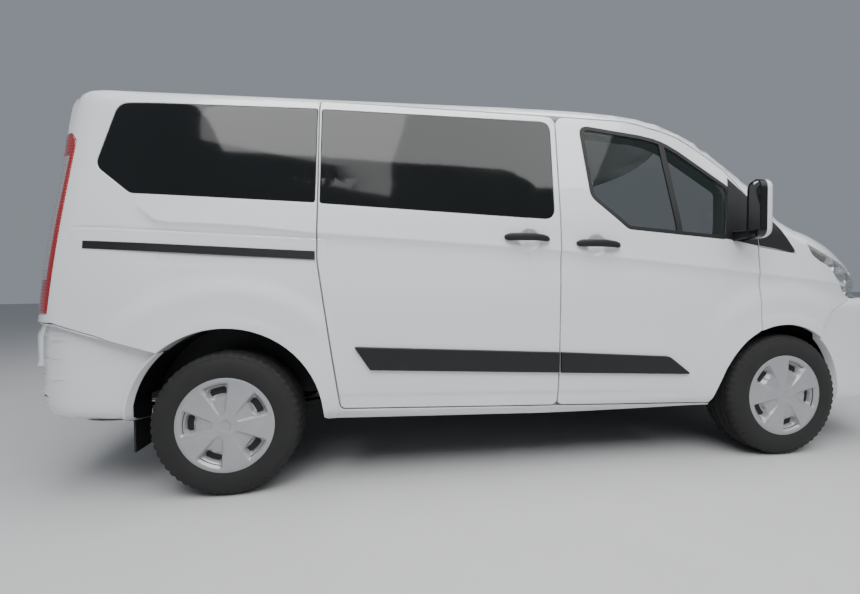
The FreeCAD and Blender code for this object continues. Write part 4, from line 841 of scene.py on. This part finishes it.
def build_bonnet_and_wings():
    half = np.concatenate([seen_from("top", plan_arc(screen_foot + 4, 0, bonnet_wide, 16)),
                           seen_from("top", plan_arc(cowl_front, bonnet_wide, 0, 16))])
    panel("cowl_panel", roof_chart, closed_by_mirror(half), depth=20.0, step=40.0, replaces=("cowl",),
          **black_part)
    along = seen_from("top", [(x, bonnet_wide) for x in np.linspace(1800, 2500, 141)])
    end = int(np.argmax(along[:, 2] < bonnet_edge_z(along[:, 0])))
    half = np.concatenate([seen_from("top", plan_arc(bonnet_back, 0, bonnet_wide, 20)), along[:end:4],
                           bonnet_front(bonnet_wide)])
    panel("bonnet_skin", roof_chart, closed_by_mirror(half), depth=25.0, step=(30.0, 35.0), body="bonnet",
          relief=bonnet_relief, material=paint, replaces=("bonnet",))
    for side in (-1, 1):
        build_wing(side)


def bonnet_front(wide):
    """Points of the bonnet's front edge from its corner to the middle."""
    points = []
    for y in wide * (1 - np.linspace(0.0, 1.0, 30)):
        x = np.linspace(1900.0, 2470.0, 300)
        z = bonnet_edge_z(x)
        inside = body_distance(columns(x, y, z)) < 0
        last = len(inside) - 1 - int(np.argmax(inside[::-1]))
        points.append((x[last], y, z[last]))
    return np.array(points)


def bonnet_relief(points):
    """Two shallow ridges that run forwards and inwards over the bonnet."""
    x, y = points[:, 0], np.abs(points[:, 1])
    ridge = np.interp(x, (1850, 2420), (560, 420))
    return 7.0 * np.exp(-((y - ridge) / 34) ** 2) * np.interp(x, (1900, 2000, 2360, 2430), (0, 1, 1, 0))


def build_wing(side):
    """Wing from the door round the headlamp to the bumper, with the strip along the bonnet."""
    chart = Chart(-1900.0, 1750.0, 1000.0, side * 560.0, "side")
    over = seen_from("top", [(x, wing_inner) for x in np.linspace(1701, 2400, 141)], side)
    end = int(np.argmax(over[:, 2] < bonnet_edge_z(over[:, 0])))
    tip = over[end - 1]
    edge = [(x, bonnet_edge_z(x)) for x in np.linspace(tip[0], 1618, 16)]
    lamp = [(point[0] - 4, point[1] - 2) for point in run(lamp_back, 25.0)][1:-1]
    x, z, radius = arches[0]
    pieces = [seen_from("side", run([(1309, 701), (1309, 1156), (1545, 1118), (1402, 1322)]), side),
              seen_from("top", run([(1402, 851.5), (1700, 880), (1701, wing_inner)]), side), over[4:end:4],
              seen_from("side", edge, side), seen_from("side", lamp, side),
              seen_from("side", run([(1958, 867), (1958, 857), (1772, 793), (1700, 698)], 30.0), side),
              seen_from("side", arc((x, z), radius, 50.0, 112.0)[1:-1], side)]
    panel("wing_skin_" + word(side), chart, np.concatenate(pieces), depth=20.0, step=(30.0, 30.0),
          extra=([(1300.0, 1760.0, 15.0)], wing_lines), replaces=("wing_" + word(side),), **pressed_skin)


def build_corner_plates(side):
    """Black plates ahead of the door's window: one on the wing, and on the door the mirror's."""
    for name, body, line in (("pillar_plate_", "root", pillar_plate_line),
                             ("mirror_sail_", "door_" + word(side), sail_line)):
        panel(name + word(side), side_chart(side), on_form("side", line, side), start=-3.0, depth=3.5,
              rounding=1.0, body=body, step=25.0, **black_part)


def build_rear_bumper():
    x, z, radius = arches[1]
    right = seen_from("side", arc((x, z), radius, 178.0, 130.5, 14), -1)
    right = np.concatenate([right, seen_from("side", run([(-1754, 681), (-2213, 817), (-2290, 821)]), -1)])
    top = np.concatenate([seen_from("rear", [(761, 822), (761, 700), (761, 608)], -1),
                          seen_from("rear", [(y, 606) for y in np.linspace(-720, 720, 30)]),
                          seen_from("rear", [(761, 608), (761, 700), (761, 822)], 1)])
    low_side = [(v, 366.0) for v in np.linspace(-1904, -2250, 9)]
    low = [(y, 388.0) for y in np.linspace(780, -780, 30)]
    bottom = np.concatenate([seen_from("side", low_side, 1), seen_from("rear", low),
                             seen_from("side", low_side[::-1], -1)])
    outline = np.concatenate([right, top, mirrored_points(right[::-1]), bottom])
    panel("rear_bumper_skin", bumper_chart, outline, depth=rebate, step=(40.0, 20.0), relief=bumper_relief,
          material=paint, replaces=("bumper_rear",))


def bumper_relief(points):
    """A ridge along the rear bumper, and its lower part tucked under."""
    x, z = points[:, 0], points[:, 2]
    ridge = np.interp(np.abs(points[:, 1]), (0, 700, 900), (640, 640, 600))
    step = 1 / (1 + np.exp(-(z - ridge) / 5.0))
    out = 7.0 * (1 - step) * np.interp(z, (380, 470, 640), (0, 1, 1))
    return (out - 7.5) * np.interp(x, (-2300, -1900), (1, 0.0))


def build_front_bumper():
    """Front bumper skin with its mouth, the grille above it and the bars in the mouth."""
    x, z, radius = arches[0]
    half = np.concatenate([seen_from("side", arc((x, z), radius, 4.0, 50.0, 12), 1),
                           seen_from("side", run([(1702, 694), (1772, 789), (1960, 853), (1962, 863)], 30.0),
                                     1), side_run_to_front(863.0, 1970.0, 515.0, 1)])
    under_grille = np.concatenate([seen_from("front", [(515, 830), (515, 795)]),
                                   seen_from("front", [(y, 795) for y in np.linspace(490, -490, 30)])])
    ends = [[(v, 286.0 - (v - 1830) * 0.02) for v in np.linspace(*ways, 8)] for ways in ((1836, 2100),
                                                                                         (2100, 1836))]
    low = np.concatenate([seen_from("side", ends[0], -1),
                          seen_from("front", [(y, 282.0) for y in np.linspace(-760, 760, 36)]),
                          seen_from("side", ends[1], 1)])
    outline = np.concatenate([half, under_grille, mirrored_points(half[::-1]), low])
    mouth = on_form("front", [(-515, 390, 20), (515, 390, 20), (515, 590, 20), (-515, 590, 20)])
    panel("front_bumper_skin", nose_chart, outline, [mouth], depth=rebate, step=(40.0, 25.0), material=paint,
          replaces=("bumper_front",))
    top = bonnet_front(508.0) - (0, 0, 8)
    top = reach_form(*nose_chart.rays(*nose_chart.place(top).T))
    ring = np.concatenate([seen_from("front", [(-508, 800), (508, 800)]),
                           seen_from("front", [(508, 830), (508, 860)]), top, mirrored_points(top[-2::-1]),
                           seen_from("front", [(-508, 860), (-508, 830)])])
    slots = [on_form("front", [(-470, v, 8), (470, v, 8), (470, v + 26, 8), (-470, v + 26, 8)])
             for v in (819, 861, 903)]
    panel("grille_frame", nose_chart, ring, slots, depth=34.0, step=(40.0, 60.0), slot="black_plastic",
          material=gloss_black, replaces=("grille",))
    for number, v in enumerate((420, 475, 530)):
        bar = on_form("front", [(-512, v), (512, v), (512, v + 18), (-512, v + 18)])
        panel("lower_grille_bar_%d" % (number + 1), nose_chart, bar, start=4.0, depth=34.0, rounding=4.0,
              step=60.0, **black_part)


def side_run_to_front(z, from_x, to_y, side):
    """Points at one height from a place on the side round to a place on the front."""
    x = np.arange(from_x, 2480.0, 15.0)
    points = seen_from("side", [(value, z) for value in x], side)
    wide = np.abs(points[:, 1]) > to_y + 120
    rest = seen_from("front", [(y, z) for y in np.linspace(to_y + 110, to_y, 5)], side)
    return np.concatenate([points[wide], rest])


def build_headlamp(side):
    """Clear cover, silvered housing and bowls of a headlamp."""
    low = side_run_to_front(869.0, 1980.0, lamp_inner, side)
    top = seen_from("side", [(x, bonnet_edge_z(x, 7.0)) for x in np.linspace(1632, 2420, 160)], side)
    top = top[np.abs(top[:, 1]) > lamp_inner][::5]
    rise = seen_from("front", [(lamp_inner, v) for v in (900, 940, 975)], side)
    back = seen_from("side", run(lamp_back, 25.0), side)
    outline = np.concatenate([low, rise[rise[:, 2] < top[-1][2] - 8], top[::-1], back])
    panel("headlamp_cover_" + word(side), side_chart(side), outline, start=1.0, depth=5.0, rounding=1.5,
          step=25.0, slot="lamp", material=lamp_cover, replaces=("headlamps",) if side > 0 else ())
    panel("headlamp_housing_" + word(side), side_chart(side), outline, start=46.0, depth=50.0, rounding=2.0,
          step=25.0, slot="lamp", material=lamp_bed)
    for number, (x, z, radius) in enumerate(lamp_bowls):
        build_bowl("headlamp_reflector_%s_%d" % (word(side), number + 1), side, x, z, radius)


def build_bowl(name, side, x, z, radius):
    """Bright bowl let into the lamp's housing and facing outwards."""
    place = seen_from("side", [(x, z)], side)[0]
    facing = Vector([float(body_distance((place + step)[None])[0] - body_distance((place - step)[None])[0])
                     for step in np.eye(3) * 2.0]).normalized()
    bm = spun([(-38, 0.2), (-38, radius * 0.3), (-30, radius * 0.7), (-14, radius * 0.96), (-12, radius),
               (-12, radius + 3), (-15, radius + 3), (-34, radius * 0.72), (-42, radius * 0.3), (-42, 0.2)],
              40)
    bmesh.ops.remove_doubles(bm, verts=bm.verts[:], dist=0.5)
    turn = Vector((0, 1, 0)).rotation_difference(facing).to_matrix()
    for vert in bm.verts:
        vert.co = (turn @ vert.co + Vector(place)) * MM
    smooth_piece(bm, name, "root", reflector)


def build_tail_lamp(side):
    front = [(-2246, 866), (-2192, 1300), (-2150, 1670), (-2180, 1708), (-2225, 1712)]
    outline = np.concatenate([seen_from("side", run(front), side),
                              seen_from("rear", [(764, v) for v in np.linspace(1712, 866, 24)], side)])
    panel("tail_lamp_lens_" + word(side), side_chart(side), outline, start=-2.0, depth=30.0, rounding=6.0,
          step=(20.0, 30.0), slot="red_lamp", material=tail_lens,
          replaces=("tail_lamps",) if side > 0 else ())


def build_tailgate():
    """Tailgate skin, lining and pane."""
    half = np.concatenate([seen_from("rear", [(y, 616) for y in np.linspace(0, 730, 24)], 1),
                           seen_from("rear", [(751, v) for v in np.linspace(616, 1850, 40)], 1),
                           seen_from("top", [(-2213, y) for y in np.linspace(751, 0, 24)], 1)])
    panel("tailgate_skin", tail_chart, closed_by_mirror(half), [on_form("rear", rear_window)],
          step=(50.0, 30.0), relief=tailgate_relief, body="tailgate", material=paint, replaces=("tailgate",))
    inner = on_form("rear", [(-700, 645, 40), (700, 645, 40), (700, 1870, 60), (-700, 1870, 60)])
    panel("tailgate_lining", tail_chart, inner, [on_form("rear", rear_window, 1, window_step)],
          body="tailgate", **{**door_lining, "depth": 70.0, "step": 60.0})
    panel("tailgate_pane", tail_chart, on_form("rear", rear_window, 1, pane_gap), body="tailgate", step=50.0,
          replaces=("tailgate_glass",), **dark_pane)


def tailgate_relief(points):
    """Recess for the number plate and a waist line below the window."""
    y, z = np.abs(points[:, 1]), points[:, 2]
    recess = np.interp(y, (285, 310), (1, 0)) * np.interp(z, (770, 790, 940, 975), (0, 1, 1, 0))
    waist = np.exp(-((z - 1120) / 26) ** 2) * np.interp(y, (600, 720), (1, 0))
    return 5.0 * waist - 14.0 * recess


# Wheels; profiles are (y, radius) from the wheel's middle outwards
wheel_x = {"front": 1463.5, "rear": -1469.5}
wheel_y, wheel_z = 869.0, 336.0
tread_ribs = ((-76, -57), (-47, -26), (-17, 17), (26, 47), (57, 76))
groove_depth = 7.0
tyre_radius = 335.8
tyre_side = [(86, 203), (95, 206), (99, 214), (103, 226), (106.5, 244), (107.4, 262), (106, 266), (107, 270),
             (105, 288), (100, 304), (96, 312), (97, 316), (93, 322), (86, 328)]
tyre_steps = 168
rim_profile = [(93, 188), (93.5, 204), (89, 205), (86, 200), (60, 196), (40, 180), (-50, 182), (-78, 196),
               (-86, 200), (-89, 205), (-93.5, 204), (-93, 190), (-60, 178), (-40, 172), (30, 172), (34, 168),
               (34, 62), (-71, 62), (-95, 62), (-95, 31), (-7, 31), (-7, 12), (40, 12), (40, 60), (44, 172),
               (60, 184), (93, 188)]
cover_rings = (8, 14, 19, 22, 25, 30, 36, 44, 52, 60, 68, 77, 86, 95, 104, 113, 122, 130, 138, 145, 151, 157,
               163, 169, 175, 181, 187, 192, 197, 201, 205, 210, 216, 220)
cover_steps = 180
cover_radii = (0, 17, 20, 27, 30, 120, 196, 212, 220)
cover_heights = (107, 107, 105, 110, 110, 109, 106, 104, 101)
pocket_count = 5
first_pocket = {"front": 24.0, "rear": 59.0}     # its turn from the top, in degrees
hole_middle, hole_corner = 157, 18


def spun(profile, steps):
    """Surface turned once round the wheel's axle."""
    bm = bmesh.new()
    verts = [bm.verts.new((0, y, radius)) for y, radius in profile]
    edges = [bm.edges.new(pair) for pair in zip(verts, verts[1:])]
    bmesh.ops.spin(bm, geom=verts + edges, cent=(0, 0, 0), axis=(0, 1, 0), dvec=(0, 0, 0), angle=2 * math.pi,
                   steps=steps, use_merge=True)
    return bm


def wheel_piece(bm, place, side, name, material, replaces=()):
    """Puts a piece that was made round the origin on its axle."""
    for vert in bm.verts:
        u, v, w = vert.co
        vert.co = Vector((wheel_x[place] + u, side * (wheel_y + v), wheel_z + w)) * MM
    end = "_%s_%s" % (place, word(side))
    return smooth_piece(bm, name + end, "wheel" + end, material,
                        replaces=[node + end for node in replaces])


def build_tyre(place, side):
    """Tyre with grooved tread, shoulder blocks and a plain sidewall."""
    crown = []
    for first, last in reversed(tread_ribs):
        for y, sunk in ((last + 1.5, 1), (last, 0), (first, 0), (first - 1.5, 1)):
            sunk = 0 if abs(y) > 74 else sunk
            crown.append((y, tyre_radius - (y / 76) ** 2 * 3.0 - sunk * groove_depth))
    other = [(-y, radius) for y, radius in reversed(tyre_side)]
    bm = spun(tyre_side + crown[1:-1] + other + [(-80, 199), (80, 199), (86, 203)], tyre_steps)
    bmesh.ops.remove_doubles(bm, verts=bm.verts[:], dist=0.01)
    for vert in bm.verts:
        u, v, w = vert.co
        radius = math.hypot(u, w)
        number = round(math.atan2(u, w) / (2 * math.pi) * tyre_steps)
        shoulder = abs(v) > 56 and radius > 320 or 311 < radius <= 323
        if shoulder and number % 3 == 0:
            depth = 5.0 if radius > 320 else 3.0
            vert.co = (u * (1 - depth / radius), v * (1 - 2.0 / 90), w * (1 - depth / radius))
        elif 26 <= abs(v) <= 47 and radius > 330 and number % 6 == 0:
            vert.co = (u * (1 - 4 / radius), v, w * (1 - 4 / radius))
    wheel_piece(bm, place, side, "tyre", rubber, ("tyre",))


def cover_height(radius, turn, first):
    """How far the wheel cover stands out, and whether the place is one of its holes."""
    height = float(np.interp(radius, cover_radii, cover_heights))
    step = 2 * math.pi / pocket_count
    off = (turn - first + step / 2) % step - step / 2
    across, out = abs(radius * math.sin(off)), radius * math.cos(off)
    half = float(np.interp(out, (54, 62, 110, 202), (8, 20, 37, 65)))
    pocket = min(1.0, max(0.0, min((half - across) / 9.0, (out - 54) / 9.0, (204 - radius) / 22.0)))
    floor_depth = float(np.interp(out, (54, 100, 136, 176), (4, 9, 15, 20)))
    hole = hole_corner - math.hypot(max(across - 24, 0.0), max(abs(out - hole_middle) - 4, 0.0))
    if hole > 0:
        return height - floor_depth - min(16.0, hole * 6), hole > 3.0
    return height - floor_depth * pocket * pocket * (3 - 2 * pocket), False


def build_cover(place, side):
    """Wheel cover with five pockets, each with a dented hole near the rim whose floor is near-black: painted
    shade for the dark inside of an open hole, partly the dark steel rim that lies behind.
    """
    bm = spun([(0, radius) for radius in cover_rings], cover_steps)
    bmesh.ops.remove_doubles(bm, verts=bm.verts[:], dist=0.01)
    middle = [edge for edge in bm.edges if edge.is_boundary and edge.verts[0].co.length < 9]
    bmesh.ops.poke(bm, faces=bmesh.ops.contextual_create(bm, geom=middle)["faces"])
    # Faces deep in each hole get the near-black rubber: painted shade in place of a see-through opening
    dark = set()
    for vert in bm.verts:
        u, v, w = vert.co
        height, hole = cover_height(math.hypot(u, w), math.atan2(u, w), math.radians(first_pocket[place]))
        vert.co = (u, height, w)
        if hole:
            dark.add(vert)
    for face in bm.faces:
        face.material_index = int(all(vert in dark for vert in face.verts))
    wall_ring = bmesh.ops.extrude_edge_only(bm, edges=[edge for edge in bm.edges if edge.is_boundary])["geom"]
    for vert in [made for made in wall_ring if isinstance(made, bmesh.types.BMVert)]:
        vert.co.y -= 9.0
    piece = wheel_piece(bm, place, side, "wheel_cover", cover_silver, ("rim",))
    # Second material: the near-black floor of the holes, painted shade
    piece.data.materials.append(seal_rubber)


def build_rim(place, side):
    """Steel rim: flanges, well, disc and hub."""
    bm = spun(rim_profile, 72)
    bmesh.ops.remove_doubles(bm, verts=bm.verts[:], dist=0.01)
    wheel_piece(bm, place, side, "steel_rim", rim_steel)


# Trim on the body side
moulding_line = [(-803, 567, 6), (150, 517), (150, 622), (-878, 682, 6)]
door_moulding_line = [(158, 516), (889, 479, 8), (760, 579, 60), (158, 622)]
rail_line = [(-2077, 1158), (-1054, 1099), (-1054, 1140), (-2077, 1194)]
# Handle sections by share of its length: half height, half depth, stand-off, drop
handle_height = ((0, 0.05, 0.12, 0.6, 0.9, 0.97, 1), (8, 16, 19, 19, 15, 10, 3))
handle_depth = ((0, 0.05, 0.5, 0.95, 1), (6, 11, 12, 9, 2))
handle_out = ((0, 0.12, 0.3, 0.8, 0.94, 1), (10, 20, 32, 32, 18, 5))
handle_drop = ((0, 0.6, 1), (0, -2, -13))
handle_steps = 16
# Mirror head: how far each ring is drawn in, and where it lies; then the lip round the glass
mirror_line = [(1000, 1187, 42), (1128, 1190, 52), (1134, 1490, 60), (1012, 1488, 48)]
mirror_rings = [(0.0, 1140.0), (0.0, 1180.0), (0.0, 1202.0), (6.0, 1218.0), (20.0, 1229.0), (46.0, 1233.0)]
mirror_lip = [(5.0, 1136.0), (8.0, 1138.0), (9.0, 1146.0)]
mirror_front, mirror_depth = 1233.0, 93.0


def strip(name, side, outline, body, height=14.0, rounding=5.0):
    panel(name, side_chart(side), on_form("side", outline, side), start=-height, depth=0.5, rounding=rounding,
          step=(60.0, 60.0), body=body, **black_part)


def build_handle(name, side, x_from, x_to, z, body):
    """Black pull handle, thicker behind and tapered in front, over a scooped cup."""
    bm = bmesh.new()
    shares = [number / handle_steps for number in range(handle_steps + 1)]
    x = np.array([x_from + (x_to - x_from) * share for share in shares])
    ground = seen_from("side", np.stack((x, np.full(len(x), z)), 1), side)
    rings = []
    for share, at, point in zip(shares, x, ground):
        half_height, half_depth, out, drop = [float(np.interp(share, *table)) for table in
                                              (handle_height, handle_depth, handle_out, handle_drop)]
        ring = []
        for turn in np.linspace(0, 2 * math.pi, 14, endpoint=False):
            u, v = [math.copysign(abs(value) ** 0.7, value) for value in (math.cos(turn), math.sin(turn))]
            place = (at, point[1] + side * (out + half_depth * u - 2), z + drop + half_height * v)
            ring.append(bm.verts.new(Vector(place) * MM))
        rings.append([bm.edges.new((ring[i - 1], ring[i])) for i in range(len(ring))])
    for first, second in zip(rings, rings[1:]):
        bmesh.ops.bridge_loops(bm, edges=first + second)
    for ring in (rings[0], rings[-1]):
        bmesh.ops.contextual_create(bm, geom=ring)
    smooth_piece(bm, name, body, plastic)


def turned_in(x, y):
    """Place ahead of a point on the mirror, whose glass faces inwards."""
    return x + (mirror_front - x) / mirror_depth * (30.0 - 0.367 * (y - 1072.0))


def build_mirror(side):
    """Door mirror: housing rounded ahead, glass let in behind, on an arm from the sail."""
    body = "door_" + word(side)
    outline = turned_left(rounded(mirror_line, step=30))
    bm = bmesh.new()
    rings = []
    for distance, x in mirror_rings + mirror_lip:
        verts = [bm.verts.new(Vector((turned_in(x, y), side * y, z)) * MM)
                 for y, z in offset_ring(outline, distance)]
        rings.append([bm.edges.new((verts[i - 1], verts[i])) for i in range(len(verts))])
    chain = rings[:len(mirror_rings) - 1:-1] + rings[:len(mirror_rings)]
    for number, (first, second) in enumerate(zip(chain, chain[1:])):
        for face in bmesh.ops.bridge_loops(bm, edges=first + second)["faces"]:
            face.material_index = 2 if number > 3 else 0
    bmesh.ops.contextual_create(bm, geom=chain[-1])["faces"][0].material_index = 2
    bmesh.ops.contextual_create(bm, geom=chain[0])["faces"][0].material_index = 1
    piece = smooth_piece(bm, "mirror_head_" + word(side), body, gloss_black,
                         replaces=("mirror_" + word(side),))
    piece.data.materials.append(mirror_glass)
    piece.data.materials.append(paint)
    bm = bmesh.new()
    bmesh.ops.create_cube(bm, size=1.0)
    for vert in bm.verts:
        u, v, w = vert.co
        narrow = 1.0 if v < 0 else 0.7
        vert.co = Vector((1182 + u * 62 * narrow, side * (985 + v * 100), 1216 + w * 46 * narrow)) * MM
    bmesh.ops.bevel(bm, geom=bm.edges[:], offset=8 * MM, segments=3, profile=0.5, affect="EDGES", material=-1)
    smooth_piece(bm, "mirror_arm_" + word(side), body, plastic)


def build_trim():
    strip("side_moulding_right", -1, moulding_line, "root")
    strip("side_moulding_left", 1, moulding_line, "root")
    strip("slide_rail_cover", -1, rail_line, "root", 3.0, 2.0)
    for side in (-1, 1):
        strip("door_moulding_" + word(side), side, door_moulding_line, "door_" + word(side))
        build_handle("door_handle_" + word(side), side, 253, 496, 1176, "door_" + word(side))
        build_mirror(side)
    build_handle("sliding_door_handle", -1, -126, 112, 1208, "root")
    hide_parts("side_trim")
    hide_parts("door_trim_left")
    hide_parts("door_trim_right")


def set_camera():
    """The photograph's camera."""
    turn, pitch, roll = 0.126, -0.015, -0.015
    ahead = Vector((math.sin(turn) * math.cos(pitch), math.cos(turn) * math.cos(pitch), math.sin(pitch)))
    right = ahead.cross(Vector((0, 0, 1))).normalized()
    up = right.cross(ahead)
    across = math.cos(roll) * right + math.sin(roll) * up
    upright = -math.sin(roll) * right + math.cos(roll) * up
    data = bpy.data.cameras.new("photo camera")
    data.sensor_width = 36.0
    data.lens = 400.0 * 36.0 / 860.0
    camera = bpy.data.objects.new("photo camera", data)
    bpy.context.collection.objects.link(camera)
    place = Matrix((across, upright, -ahead)).transposed().to_4x4()
    place.translation = Vector((-0.7537, -2.9124, 0.9425))
    camera.matrix_world = place
    bpy.context.scene.camera = camera


def set_stage():
    """Pale floor under soft light from above."""
    bm = bmesh.new()
    bmesh.ops.create_grid(bm, x_segments=1, y_segments=1, size=60.0)
    mesh = bpy.data.meshes.new("ground")
    bm.to_mesh(mesh)
    bm.free()
    ground = bpy.data.objects.new("ground", mesh)
    bpy.context.collection.objects.link(ground)
    mesh.materials.append(toned("pale floor", (0.52, 0.52, 0.52), (0.56, 0.56, 0.56), 3.0, 0.8))
    world = bpy.data.worlds.new("studio")
    bpy.context.scene.world = world
    world.use_nodes = True
    sky = world.node_tree.nodes["Background"]
    sky.inputs["Color"].default_value = (0.82, 0.89, 1.0, 1)
    sky.inputs["Strength"].default_value = 0.30
    for name, place, power, size in (("overhead", (0, -2.6, 6.2), 640, 7),
                                     ("raised front", (-2, -6, 7), 130, 4), ("from nose", (6, -3, 5), 60, 4)):
        data = bpy.data.lights.new(name, "AREA")
        data.energy, data.size = power, size
        light = bpy.data.objects.new(name, data)
        bpy.context.collection.objects.link(light)
        light.location = place
        light.rotation_euler = (Vector((0, 0, 0.8)) - Vector(place)).to_track_quat("-Z", "Y").to_euler()


# Finishes of the construction's own shapes
for material, nodes in ((chassis_coat, "floor front_frame rear_axle"),
                        (metal, "knuckle_left knuckle_right engine"),
                        (plastic, "arch_liners fuel_tank strut_tube_left strut_tube_right"),
                        (exhaust_steel, "exhaust"), (cabin_plastic, "dashboard steering_wheel"),
                        (cloth, "front_seats rear_benches"), (bright_rod, "strut_rod_left strut_rod_right"),
                        (paint, "fuel_flap")):
    for node in nodes.split():
        for number in range(len(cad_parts[node].data.materials)):
            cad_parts[node].data.materials[number] = material
build_side(-1)
build_side(1)
build_sliding_door()
build_front_door(-1)
build_front_door(1)
build_roof()
build_bonnet_and_wings()
build_rear_bumper()
build_front_bumper()
build_tailgate()
build_trim()
for place in wheel_x:
    for side in (1, -1):
        build_tyre(place, side)
        build_cover(place, side)
        build_rim(place, side)
for side in (-1, 1):
    build_corner_plates(side)
    build_headlamp(side)
    build_tail_lamp(side)
set_camera()
set_stage()
